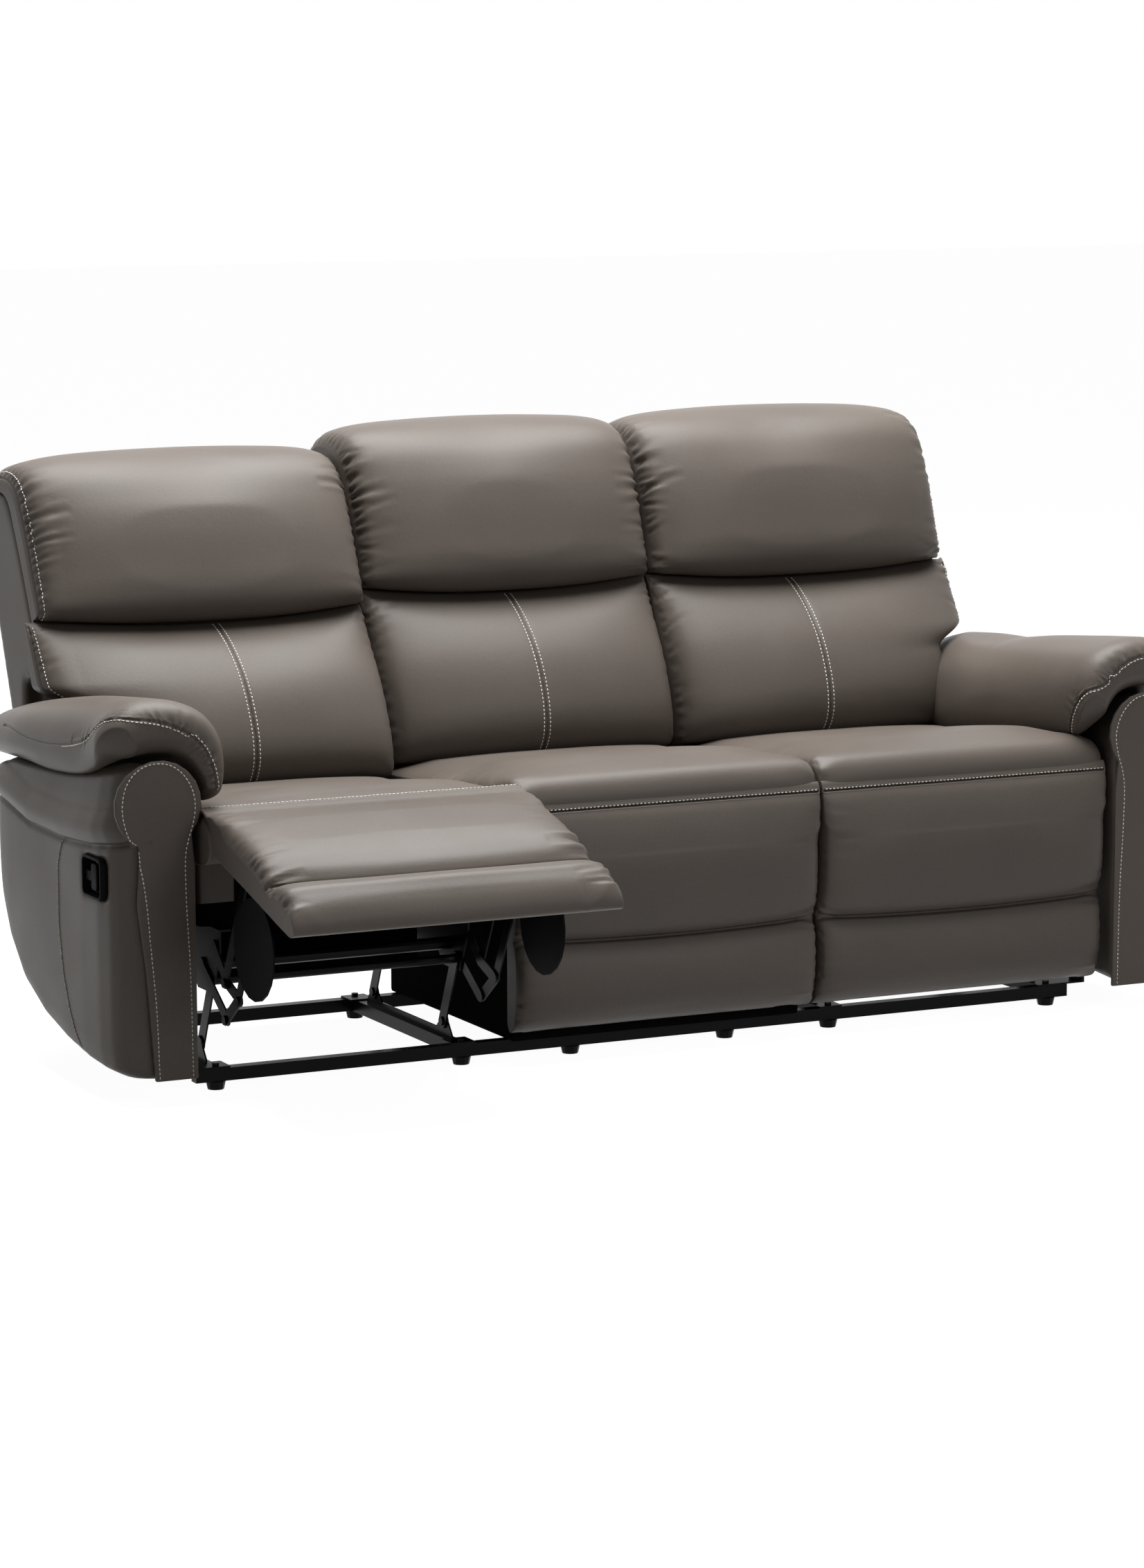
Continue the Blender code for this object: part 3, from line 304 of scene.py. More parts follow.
def piece_of(name, points, faces):
    """A new piece from its points and faces, with its faces turned outwards."""
    mesh = bpy.data.meshes.new(name)
    mesh.from_pydata(points, [], faces)
    piece = bpy.data.objects.new(name, mesh)
    scene.collection.objects.link(piece)
    only(piece)
    turned_to("EDIT")
    bpy.ops.mesh.select_all(action="SELECT")
    bpy.ops.mesh.normals_make_consistent(inside=False)
    turned_to("OBJECT")
    return piece


def skin_over(name, rings):
    """A closed skin over a row of rings. Each ring is a face line and then, back again, the line under it."""
    around = len(rings[0])
    faces = []
    for row in range(len(rings) - 1):
        for k in range(around):
            after = (k + 1) % around
            faces.append((row * around + k, (row + 1) * around + k, (row + 1) * around + after,
                          row * around + after))
    last = (len(rings) - 1) * around
    for k in range(around // 2 - 1):
        faces.append((k, k + 1, around - 2 - k, around - 1 - k))
        faces.append((last + around - 1 - k, last + around - 2 - k, last + k + 1, last + k))
    return piece_of(name, np.vstack(rings).tolist(), faces)


def padded_form(name, face, rest, keep, reach=None, steps=64, smile=None, close_to=()):
    """A stuffed form between its covered face and the line it rests on, both (Y, Z) and of one length.
    keep says what share of the thickness is left across the seat, from its middle to its side seam;
    reach how far its outer end stands out at each height; smile lifts the face towards the sides."""
    face, rest = np.asarray(face, float), np.asarray(rest, float)
    feet = nearest_on(rest, face)
    spread = np.linspace(-1.0, 1.0, steps)
    places = np.sign(spread) * (1.0 - (1.0 - np.abs(spread)) ** 1.4)
    places = np.unique(np.round(np.concatenate([places, close_to]), 5))
    closing = (0.12, 0.3, 0.55, 0.8)

    def section(place, squeeze=0.0):
        share = keep(face, abs(place))
        line = feet + (face - feet) * share[:, None]
        if smile is not None:
            line = line + smile(line, place)
        back = rest[::-1]
        middle = (line + rest) / 2
        line, back = line + (middle - line) * squeeze, back + (middle[::-1] - back) * squeeze
        both = np.vstack([line, back])
        out = np.full(len(both), seat_half_width)
        if reach is not None and place > 0:
            out = out + reach(both[:, 1])
        return np.column_stack([out * place, both])

    rings = [section(places[0], squeeze) for squeeze in reversed(closing)]
    rings += [section(place) for place in places]
    rings += [section(places[-1], squeeze) for squeeze in closing]
    piece = skin_over(name, rings)
    rows, turn = np.divmod(np.arange(len(rings) * 2 * len(face)), 2 * len(face))
    held = (turn >= len(face)) | (rows < len(closing)) | (rows >= len(rings) - len(closing))
    return piece, held, section


def share_of(pairs):
    """How much of a cushion's thickness is kept at each place across it, the same at every height."""
    shares = smooth_line(pairs, 200)
    return lambda line, place: np.full(len(line), np.interp(place, shares[:, 0], shares[:, 1]))


def read(rows, field, width=3, kind=float):
    """One field of all of a mesh's points, edges or faces."""
    values = np.empty(len(rows) * width, kind)
    rows.foreach_get(field, values)
    return values.reshape(-1, width)


def points_of(piece):
    return read(piece.data.vertices, "co")


def set_points(piece, points):
    piece.data.vertices.foreach_set("co", points.ravel())
    piece.data.update()


def out_of(piece):
    """The outward direction at each point."""
    return read(piece.data.vertex_normals, "vector")


def swollen(piece, held, pressure, most):
    """The cover swells under its stuffing as cloth, held at its hidden side and its seams, by no more than
    most; the stuffing evens out the cover's own small wrinkles."""
    last_frame, slack, evenings = 16, 0.008, 100
    before = points_of(piece)
    group = piece.vertex_groups.new(name="held")
    group.add([int(k) for k in np.nonzero(held)[0]], 1.0, "REPLACE")
    cover = piece.modifiers.new("cover", "CLOTH")
    cloth = cover.settings
    cloth.quality = 4
    cloth.mass = 0.4
    cloth.tension_stiffness = cloth.compression_stiffness = 25.0
    cloth.shear_stiffness = 10.0
    cloth.bending_stiffness = 8.0
    cloth.use_pressure = True
    cloth.uniform_pressure_force = pressure
    cloth.vertex_group_mass = "held"
    cloth.shrink_min = -slack
    cloth.effector_weights.gravity = 0.0
    cover.point_cache.frame_start = 1
    cover.point_cache.frame_end = last_frame
    for number in range(1, last_frame + 1):
        scene.frame_set(number)
    shaped = piece.evaluated_get(bpy.context.evaluated_depsgraph_get())
    move = read(shaped.data.vertices, "co") - before
    one, other = read(piece.data.edges, "vertices", 2, int).T
    neighbours = np.bincount(np.concatenate([one, other]), minlength=len(before))[:, None]
    for _ in range(evenings):
        total = np.column_stack([np.bincount(one, move[other, i], len(before))
                                 + np.bincount(other, move[one, i], len(before)) for i in range(3)])
        move = (move + total / neighbours) / 2
        move[held] = 0.0
    length = np.maximum(np.linalg.norm(move, axis=1, keepdims=True), 1e-9)
    piece.modifiers.clear()
    scene.frame_set(1)
    piece.vertex_groups.clear()
    set_points(piece, before + move * np.minimum(1.0, most / length))


def applied(piece, kind, **settings):
    """Adds a modifier with these settings and applies it."""
    only(piece)
    added = piece.modifiers.new(kind.lower(), kind)
    for name, value in settings.items():
        setattr(added, name, value)
    bpy.ops.object.modifier_apply(modifier=added.name)


def refined(piece):
    applied(piece, "SUBSURF", levels=1, render_levels=1)


def even_path(path, step):
    path = np.asarray(path, float)
    run = run_of(path)
    count = max(2, int(round(run[-1] / step)) + 1)
    even = np.linspace(0.0, run[-1], count)
    return np.column_stack([np.interp(even, run, path[:, i]) for i in range(3)])


def laid_on(piece, path, step=0.002):
    """A path put down on a piece's surface: its points, and the surface's outward direction there."""
    tree = BVHTree.FromObject(piece, bpy.context.evaluated_depsgraph_get())
    for _ in range(2):
        path = even_path(path, step)
        found = [tree.find_nearest(Vector(point)) for point in path]
        path = np.array([hit[0][:] for hit in found])
    return path, np.array([hit[1][:] for hit in found])


def near_path(piece, path, reach):
    """The points of a piece within reach of a path: index, distance, run along the path, nearest step."""
    tree = KDTree(len(path))
    for k, point in enumerate(path):
        tree.insert(point, k)
    tree.balance()
    points = points_of(piece)
    low, high = path.min(0) - reach, path.max(0) + reach
    close = np.nonzero(((points > low) & (points < high)).all(1))[0]
    run = run_of(path)
    rows = []
    for k in close:
        _, step, distance = tree.find(points[k])
        if distance < reach:
            rows.append((k, distance, run[step], step))
    return points, rows


def finer_near(piece, path, reach):
    """Cuts the faces beside a path into smaller ones."""
    points, rows = near_path(piece, path, reach)
    close = np.zeros(len(points), bool)
    close[[row[0] for row in rows]] = True
    corners = read(piece.data.loops, "vertex_index", 1, int)[:, 0]
    starts = read(piece.data.polygons, "loop_start", 1, int)[:, 0]
    chosen = np.add.reduceat(close[corners], starts) > 0
    only(piece)
    turned_to("EDIT")
    bpy.ops.mesh.select_mode(type="FACE")
    bpy.ops.mesh.select_all(action="DESELECT")
    turned_to("OBJECT")
    piece.data.polygons.foreach_set("select", chosen)
    turned_to("EDIT")
    bpy.ops.mesh.subdivide(number_cuts=1, smoothness=0.0)
    bpy.ops.mesh.select_mode(type="VERT")
    turned_to("OBJECT")


def pressed(piece, path, width, depth, swell=0.0, shade=0.0, fine=True):
    """A seam: the cover is drawn in along the path, and stands up a little on both sides of it; shade says
    how dark the painted shade at its bottom is."""
    if fine:
        finer_near(piece, path, width * 3.5)
    points, rows = near_path(piece, path, width * 4)
    ways = out_of(piece)
    # The seam attribute holds painted shade, darkest at the bottom of the groove, which the leather finish
    # mixes into its colour.
    painted_shade_marks = piece.data.attributes.get("seam") or piece.data.attributes.new("seam", "FLOAT", "POINT")
    for k, distance, _, _ in rows:
        reach = distance / width
        height = swell * math.exp(-((reach - 2.0) / 0.9) ** 2) - depth * math.exp(-reach ** 2)
        points[k] += ways[k] * height
        painted_shade_marks.data[k].value = max(painted_shade_marks.data[k].value, shade * math.exp(-(reach * 1.2) ** 2))
    set_points(piece, points)


def inward_of(path, normals, towards):
    """The direction in the surface, square to the path, that leads towards a point."""
    across = np.cross(np.gradient(path, axis=0), normals)
    across /= np.maximum(np.linalg.norm(across, axis=1, keepdims=True), 1e-9)
    return across * np.where(((np.asarray(towards) - path) * across).sum(1) < 0, -1.0, 1.0)[:, None]


def gathered(piece, path, inward, length, depth, spacing, seed, weight=None):
    """Wrinkles that run from a seam into the cover, on the side that inward points to."""
    rng = np.random.default_rng(seed)
    points, rows = near_path(piece, path, length * 1.3)
    ways = out_of(piece)
    total = float(np.linalg.norm(np.diff(path, axis=0), axis=1).sum())
    count = max(1, int(total / spacing))
    starts = (np.arange(count) + rng.uniform(0.1, 0.9, count)) * total / count
    lengths = length * rng.uniform(0.4, 1.25, count)
    depths = depth * rng.uniform(0.35, 1.15, count)
    slants = rng.uniform(-0.4, 0.4, count)
    widths = spacing * rng.uniform(0.16, 0.32, count)
    for k, distance, run, step in rows:
        side = float((points[k] - path[step]) @ inward[step])
        if side < -0.003:
            continue
        side = max(side, 0.0)
        part = np.clip(1.0 - side / lengths, 0.0, 1.0)
        gap = (run - starts - slants * side) / (widths * (1.0 + 0.8 * side / lengths))
        fold = np.exp(-np.abs(gap) ** 1.5) - 0.55 * np.exp(-((np.abs(gap) - 1.9) / 0.9) ** 2)
        amount = float((depths * part ** 1.3 * fold).sum())
        if weight is not None:
            amount *= weight(run / total)
        points[k] -= ways[k] * amount
    set_points(piece, points)


def leather_finish(name, colour, roughness):
    """Corrected-grain leather: pebbled grain, fine pores, slow changes of tone and of gloss, and painted
    shade along its seams and creases.
    """
    material, tree, shader, place, tone, shade = toned(name, colour, 5.0, 5.0, (0.28, 0.72), (0.93, 1.07))
    shader.inputs["Specular IOR Level"].default_value = 0.2
    pebbles = node(tree, "TexVoronoi", {"Scale": 620.0}, {"Vector": place}, feature="DISTANCE_TO_EDGE")
    creases = node(tree, "MapRange", {"From Max": 0.22, "To Min": 0.8, "To Max": 1.0},
                   {"Value": pebbles.outputs["Distance"]}).outputs["Result"]
    darker = node(tree, "Mix", {"Factor": 1.0}, {"A": shade, "B": creases},
                  data_type="RGBA", blend_type="MULTIPLY")
    # Painted shade: where a seam or crease is marked, the colour is mixed towards about a fifth of the
    # leather's own, in place of the shadow in the groove.
    seam_shade_share = node(tree, "Attribute", attribute_name="seam")
    painted_seam_shade = node(tree, "Mix", {"B": (*(part * 0.22 for part in colour), 1.0)},
                     {"Factor": seam_shade_share.outputs["Fac"], "A": darker.outputs["Result"]}, data_type="RGBA")
    tree.links.new(painted_seam_shade.outputs["Result"], shader.inputs["Base Color"])
    gloss = node(tree, "MapRange", {"From Min": 0.3, "From Max": 0.7, "To Min": roughness * 0.9,
                                    "To Max": roughness * 1.12}, {"Value": tone})
    tree.links.new(gloss.outputs["Result"], shader.inputs["Roughness"])
    grain = node(tree, "Bump", {"Strength": 0.55, "Distance": 0.00025}, {"Height": creases})
    pores = node(tree, "TexNoise", {"Scale": 160.0, "Detail": 6.0}, {"Vector": place})
    soft = node(tree, "Bump", {"Strength": 0.35, "Distance": 0.0006},
                {"Height": pores.outputs["Fac"], "Normal": grain.outputs["Normal"]})
    tree.links.new(soft.outputs["Normal"], shader.inputs["Normal"])
    return material


taupe_leather = leather_finish("taupe_leather", (0.104, 0.087, 0.074), 0.43)
thread_finish = finish_of("off_white_thread", (0.74, 0.7, 0.64), 0.7, 3000.0, 0.0001, 60.0, 0.1)
stitch_length = 0.0052
stitch_gap = 0.0022
thread_radius = 0.00095


def stitches(name, piece, paths):
    """Rows of stitches on a piece: one short thread for each, sunk at both ends."""
    tree = BVHTree.FromObject(piece, bpy.context.evaluated_depsgraph_get())
    turns = 5
    rings = ((-1.0, -0.6, 0.55), (-0.55, 0.35, 1.0), (0.55, 0.35, 1.0), (1.0, -0.6, 0.55))
    points, faces = [], []
    for path in paths:
        path = even_path(path, stitch_length + stitch_gap)
        for start, end in zip(path, path[1:]):
            spot, normal, _, _ = tree.find_nearest(Vector((start + end) / 2))
            along = Vector(end - start)
            along -= normal * along.dot(normal)
            if along.length < 1e-6:
                continue
            along.normalize()
            across = normal.cross(along)
            base = len(points)
            for share, rise, size in rings:
                centre = spot + along * share * stitch_length / 2 + normal * rise * thread_radius
                for turn in range(turns):
                    angle = math.tau * turn / turns
                    points.append(centre + (across * math.cos(angle) + normal * math.sin(angle))
                                  * thread_radius * size)
            for ring in range(len(rings) - 1):
                for turn in range(turns):
                    after = (turn + 1) % turns
                    a, b = base + ring * turns, base + (ring + 1) * turns
                    faces.append((a + turn, a + after, b + after, b + turn))
            faces.append(tuple(base + turn for turn in reversed(range(turns))))
            faces.append(tuple(base + 3 * turns + turn for turn in range(turns)))
    row = piece_of(name, [tuple(point) for point in points], faces)
    bpy.ops.object.shade_smooth()
    row.data.materials.append(thread_finish)
    return row


def placed(piece, stand, mirrored=False):
    """Puts a finished mesh where it stands; a mirrored one is turned right side out again."""
    if mirrored:
        stand = stand @ Matrix.Scale(-1.0, 4, (1.0, 0.0, 0.0))
    piece.data.transform(stand)
    if mirrored:
        piece.data.flip_normals()
    piece.data.update()


def copy_of(piece, name):
    double = piece.copy()
    double.data = piece.data.copy()
    double.name = name
    scene.collection.objects.link(double)
    return double


def dressed(piece, body, solid):
    """The last steps for each leather piece: its finish, its body, the solid it stands for."""
    only(piece)
    bpy.ops.object.shade_smooth()
    piece.data.materials.clear()
    piece.data.materials.append(taupe_leather)
    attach(piece, body)
    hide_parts(solid)


def threads(rows, body):
    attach(rows, body)


def on_nose(angle, radius):
    """A point about the footrest's turning point, the angle counted up from the back."""
    return (pole.x + radius * math.cos(math.radians(angle)), pole.y + radius * math.sin(math.radians(angle)))


seat_top = (
    (0.474, 0.424), (0.47, 0.442), (0.452, 0.452), (0.4, 0.46), (0.3, 0.47), (0.2, 0.481), (0.11, 0.4945),
    (0.04, 0.5035), (0.0, 0.505), (-0.028, 0.5018))
seat_nose = tuple(on_nose(angle, nose_radius) for angle in (98, 115, 132, 150, 168, 186, 204, 222, 240))
seat_under = (
    (0.468, 0.414), (0.44, 0.4068), (0.3, 0.4065), (0.15, 0.4065), (0.0, 0.4065), (-0.05, 0.411))
seat_steps = 84
seat_face = smooth_line(seat_top + seat_nose, seat_steps)
seat_rest = smooth_line(seat_under, seat_steps)
crown_shares = share_of(((0.0, 1.06), (0.35, 1.05), (0.65, 0.99), (0.82, 0.92), (0.92, 0.83), (0.97, 0.74),
                         (1.0, 0.62)))
nose_shares = share_of(((0.0, 1.01), (0.6, 1.0), (0.85, 0.985), (0.94, 0.95), (0.98, 0.88), (1.0, 0.76)))
seat_gathers = slice(24, 78)
side_seam_place = 0.985


def seat_keep(line, place):
    """The seat is crowned from side to side on top, and rolls evenly over its nose."""
    back = np.clip((line[:, 0] + 0.055) / 0.09, 0.0, 1.0)
    back = back * back * (3 - 2 * back)
    return nose_shares(line, place) * (1 - back) + crown_shares(line, place) * back


seat_form, seat_held, seat_section = padded_form("seat_form", seat_face, seat_rest, seat_keep, steps=70)
swollen(seat_form, seat_held | (points_of(seat_form)[:, 1] < 0.0), 3.0, 0.006)
refined(seat_form)
for hand, body in (("left", "left_seat"), ("middle", "base"), ("right", "right_seat")):
    seat = copy_of(seat_form, f"{hand}_seat_leather")
    for side in (-1, 1):
        edge, normals = laid_on(seat, seat_section(side * side_seam_place)[seat_gathers])
        gathered(seat, edge, inward_of(edge, normals, (0.0, 0.1, 0.49)), 0.05, 0.0016, 0.028, 5 + side)
    placed(seat, stand_of(hand, "seat"))
    dressed(seat, body, f"{hand}_seat_cushion")
bpy.data.objects.remove(seat_form)


# Front panels. On the middle seat it is fixed; on the end seats it is the footrest. A padded panel of two
# rolls with a sewn crease between them, and a lip of the same leather that lies round the seat's nose.
panel_steps = 104
crease_y = -0.0825


def panel_lines(crease_z, lip_from, lip_rise):
    """The panel's face, from its lip down to its foot, and the line under it that hugs the nose."""
    def lip(first, gap, last):
        """An arc round the nose, that comes down to it from where the lip starts."""
        arc = [on_nose(lip_from, first)]
        turn = lip_from + 6
        while turn < last:
            share = max(190 - turn, 0) / (190 - lip_from)
            arc.append(on_nose(turn, gap + (lip_rise - 0.007) * share))
            turn += 8
        return arc

    front = lip(nose_radius - 0.0045 + lip_rise * 0.75, nose_radius + 0.0032, 190)
    front += [(-0.0925, 0.4385), (-0.0995, 0.425), (-0.105, 0.402), (-0.1085, 0.366)]
    top_z = crease_z + 0.062
    front += [(-0.1105, 0.366 - (0.366 - top_z) * 0.5), (-0.109, top_z)]
    front += [(-0.1055, crease_z + 0.042), (-0.0985, crease_z + 0.021), (-0.0885, crease_z + 0.007),
              (crease_y, crease_z), (-0.0875, crease_z - 0.006), (-0.0965, crease_z - 0.019),
              (-0.102, crease_z - 0.038)]
    front += [(-0.103, (crease_z - 0.036 + 0.1) / 2), (-0.098, 0.104), (-0.09, 0.087),
              (-0.0795, 0.0725), (-0.067, 0.0615), (-0.052, 0.0555)]
    rest = lip(nose_radius - 0.006 + lip_rise * 0.65, nose_radius + 0.001, 196)
    rest += [on_nose(turn, nose_radius + 0.0012) for turn in (200, 215, 230, 245, 258)]
    rest += [(-0.04, 0.4), (-0.0385, 0.38), (-0.0385, 0.28), (-0.0385, 0.18), (-0.0385, 0.09),
             (-0.04, 0.068), (-0.047, 0.0575)]
    return front, smooth_line(rest, panel_steps)


def corner_weight(run):
    """The panel's side seams are gathered most at the crease and at the foot."""
    return 0.35 + 1.1 * math.exp(-((run - 0.62) / 0.1) ** 2) + 0.8 * math.exp(-((run - 0.95) / 0.1) ** 2)


panel_keep = share_of(((0.0, 1.02), (0.5, 1.01), (0.8, 0.985), (0.9, 0.945), (0.95, 0.885), (0.98, 0.78),
                       (1.0, 0.56)))
sewn_half = seat_half_width - 0.004
across_seat = np.linspace(-sewn_half, sewn_half, 30)
for hand, body, solid, crease_z, lip_from, lip_rise, seam_angle, row_angle, seam_cut, gather_depth in (
        ("left", "left_footrest", "left_footrest_pad", 0.166, 139.0, 0.01, 156.0, 153.0,
         (0.0036, 0.0055, 0.0012), 0.0036),
        ("middle", "base", "middle_front_panel", 0.2085, 176.0, 0.0, 196.5, 193.2,
         (0.0019, 0.0038, 0.0007), 0.0022),
        ("right", "right_footrest", "right_footrest_pad", 0.2065, 176.0, 0.0, 196.5, 193.2,
         (0.0019, 0.0038, 0.0007), 0.0022)):
    seam_radius = nose_radius + 0.004 + lip_rise
    seam_spot, row_spot = on_nose(seam_angle, seam_radius), on_nose(row_angle, seam_radius)
    front, rest = panel_lines(crease_z, lip_from, lip_rise)
    front = smooth_line(front, panel_steps, (seam_spot, (crease_y, crease_z)))

    def drooping(line, place, crease_z=crease_z):
        """The crease hangs a little lower in the middle than at its ends."""
        drop = 0.008 * place ** 2 * np.exp(-((line[:, 1] - crease_z) / 0.06) ** 2)
        return np.column_stack([np.zeros(len(line)), drop])

    panel, panel_held, panel_section = padded_form(f"{hand}_front_leather", front, rest, panel_keep,
                                                   steps=66, smile=drooping)
    panel_points = points_of(panel)
    in_crease = (np.abs(panel_points[:, 2] - crease_z - 0.004) < 0.01) & (panel_points[:, 1] < -0.07)
    swollen(panel, panel_held | in_crease | (panel_points[:, 2] > 0.43), 3.0, 0.006)
    refined(panel)
    seam, _ = laid_on(panel, [(x, *seam_spot) for x in across_seat])
    crease, _ = laid_on(panel, [(x, -0.083, crease_z + 0.008 * (x / sewn_half) ** 2) for x in across_seat])
    # The seam and the crease both get painted shade along their bottoms, the seam at full strength and the
    # crease at 0.7.
    pressed(panel, seam, *seam_cut, 1.0, False)
    pressed(panel, crease, 0.003, 0.0035, 0.0, 0.7, False)
    for side in (-1, 1):
        edge, normals = laid_on(panel, panel_section(side * 0.992)[14:96])
        gathered(panel, edge, inward_of(edge, normals, (0.0, -0.1, 0.25)), 0.055, gather_depth, 0.02,
                 11 + side, corner_weight)
    row = stitches(f"{hand}_seat_seam_stitches", panel, [[(x, *row_spot) for x in across_seat]])
    for made in (panel, row):
        placed(made, stand_of(hand, "footrest"))
    dressed(panel, body, solid)
    threads(row, body)


# Backs. A lumbar cushion with a double-stitched seam up its middle, and over it a head cushion that
# rolls back over the top of the frame; both are gathered along their side seams.
back_line = smooth_line(((0.507, 0.45), (0.53, 0.52), (0.552, 0.59), (0.575, 0.665), (0.597, 0.7395)), 40)
over_line = (
    (0.5972, 0.7405), (0.64, 0.845), (0.672, 0.915), (0.7, 0.966), (0.738, 0.984), (0.782, 0.983),
    (0.824, 0.955))
lumbar_face = (
    (0.59, 0.7385), (0.572, 0.737), (0.545, 0.726), (0.497, 0.693), (0.447, 0.642), (0.417, 0.59),
    (0.4, 0.535), (0.402, 0.495), (0.425, 0.462), (0.462, 0.448), (0.5, 0.448))
head_face = (
    (0.59, 0.7415), (0.57, 0.74), (0.55, 0.7425), (0.535, 0.753), (0.528, 0.775), (0.53, 0.81),
    (0.538, 0.845), (0.555, 0.905), (0.578, 0.96), (0.606, 1.005), (0.64, 1.031), (0.68, 1.043),
    (0.717, 1.0445), (0.755, 1.04), (0.79, 1.0285), (0.82, 1.005), (0.836, 0.976))
lumbar_keep = share_of(((0.0, 1.0), (0.3, 0.985), (0.6, 0.935), (0.8, 0.86), (0.9, 0.77), (0.96, 0.62),
                        (0.985, 0.47), (1.0, 0.3)))
head_keep = share_of(((0.0, 1.0), (0.4, 0.99), (0.7, 0.95), (0.85, 0.87), (0.93, 0.76), (0.97, 0.61),
                      (0.988, 0.46), (1.0, 0.28)))
wing_reach = 0.04
lobe_reach = 0.058
lobe_low_z = 0.622
middle_rows_x = (-0.006, 0.006)


def lifted(line, place):
    """The seam between the two cushions rises a little towards the sides."""
    rise = 0.02 * place ** 2 * np.exp(-((line[:, 1] - 0.742) / 0.05) ** 2)
    return np.column_stack([np.zeros(len(line)), rise])


def lobe(height):
    """An end seat's lumbar cushion stands out over its arm, from just above the arm's pad."""
    part = np.clip((height - lobe_low_z + 0.02) / 0.044, 0.0, 1.0)
    return lobe_reach * part * part * (3 - 2 * part)


def wing(height):
    """An end seat's head cushion stands out over its arm by the same amount all the way up."""
    return np.full(len(height), wing_reach)


def head_weight(run):
    """Gathered most beside the middle of the head cushion, and at its lower corners."""
    return 0.22 + 1.0 * math.exp(-((run - 0.46) / 0.2) ** 2) + 0.45 * math.exp(-(run / 0.12) ** 2)


def lumbar_weight(run):
    """Gathered most at the top corners of the lumbar cushion."""
    return 0.5 + 0.8 * math.exp(-(run / 0.2) ** 2)


back_forms = {}
for kind, low_reach, high_reach in (("middle", None, None), ("end", lobe, wing)):
    lumbar_lines = smooth_line(lumbar_face, 64), smooth_line(back_line[::-1], 64)
    head_lines = smooth_line(head_face, 84), smooth_line(over_line, 84)
    for part, (face, rest), reach, share, close_to in (
            ("lumbar", lumbar_lines, low_reach, lumbar_keep,
             (-0.036, -0.024, -0.012, 0.0, 0.012, 0.024, 0.036)),
            ("head", head_lines, high_reach, head_keep, (0.0,))):
        form, held, section = padded_form(f"{kind}_{part}_form", face, rest, share, reach, 76, lifted,
                                          close_to)
        across = np.abs(points_of(form)[:, 0])
        fixed = held | (across > seat_half_width * 0.97) | ((across < 0.002) & (part == "lumbar"))
        swollen(form, fixed, 4.0, 0.008)
        refined(form)
        back_forms[kind, part] = form, section

# Where along its section a cushion's side seam runs, and its gathers' length, depth, spacing and weight
back_gathers = {"lumbar": (slice(4, 56), (0.045, 0.0026, 0.02), lumbar_weight),
                "head": (slice(3, 78), (0.062, 0.0048, 0.0165), head_weight)}
back_seeds = {"left": {"lumbar": 36, "head": 31}, "middle": {"lumbar": 52, "head": 47},
              "right": {"lumbar": 64, "head": 59}}
for hand, body in (("left", "left_back"), ("middle", "base"), ("right", "right_back")):
    kind = "middle" if hand == "middle" else "end"
    for part in ("lumbar", "head"):
        form, section = back_forms[kind, part]
        piece = copy_of(form, f"{hand}_{part}_leather")
        seamed, gather_size, weight = back_gathers[part]
        rows = []
        for side in (-1, 1):
            edge, normals = laid_on(piece, section(side * side_seam_place)[seamed])
            inward = inward_of(edge, normals, (0.0, *edge[len(edge) // 2, 1:]))
            gathered(piece, edge, inward, *gather_size, back_seeds[hand][part] + side, weight)
            if side > 0 and kind == "end":
                seam, _ = laid_on(piece, section(side * 0.992)[seamed])
                # Painted shade along the bottom of the side seam.
                pressed(piece, seam, 0.0018, 0.0018, 0.0004, 0.7)
                rows.append(section(side * 0.975)[seamed])
        if part == "lumbar":
            middle = section(0.0)[3:60]
            seam, _ = laid_on(piece, middle)
            # Painted shade along the bottom of the middle seam.
            pressed(piece, seam, 0.0016, 0.0022, 0.0005, 0.8, False)
            rows += [middle + [offset, 0.0, 0.0] for offset in middle_rows_x]
        made = [piece]
        if rows:
            made.append(stitches(f"{hand}_{part}_stitches", piece, rows))
        for one in made:
            placed(one, stand_of(hand, "back"), hand == "left")
        dressed(piece, body, f"{hand}_{part}_cushion")
        for one in made[1:]:
            threads(one, body)
for form, _ in back_forms.values():
    bpy.data.objects.remove(form)


# Back frames, arms and seat boxes: timber shells under thin padding and the same leather.
def upholstered(name, solid, voxel, smoothing, cut=None):
    """A copy of a solid with an even skin, softened at its edges as padding does."""
    piece = copy_of(frame["nodes"][solid], name)
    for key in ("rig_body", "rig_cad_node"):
        del piece[key]
    piece.parent = None
    only(piece)
    turned_to("EDIT")
    bpy.ops.mesh.select_all(action="SELECT")
    bpy.ops.mesh.remove_doubles(threshold=0.00001)
    if cut is not None:
        bpy.ops.mesh.select_all(action="SELECT")
        bpy.ops.mesh.bisect(plane_co=cut[0], plane_no=cut[1], use_fill=True, clear_inner=True)
    turned_to("OBJECT")
    applied(piece, "REMESH", mode="VOXEL", voxel_size=voxel)
    applied(piece, "SMOOTH", factor=0.5, iterations=smoothing)
    return piece


frame_front_y = 0.478
for hand, body in (("left", "left_back"), ("middle", "base"), ("right", "right_back")):
    stand = stand_of(hand, "back")
    plane_point = stand @ Vector((0.0, frame_front_y + 0.0015, 0.4))
    plane_way = stand.to_3x3() @ Vector((0.0, 1.0, 0.0))
    shell = upholstered(f"{hand}_back_shell", f"{hand}_back_frame", 0.0065, 6, (plane_point, plane_way))
    dressed(shell, body, f"{hand}_back_frame")


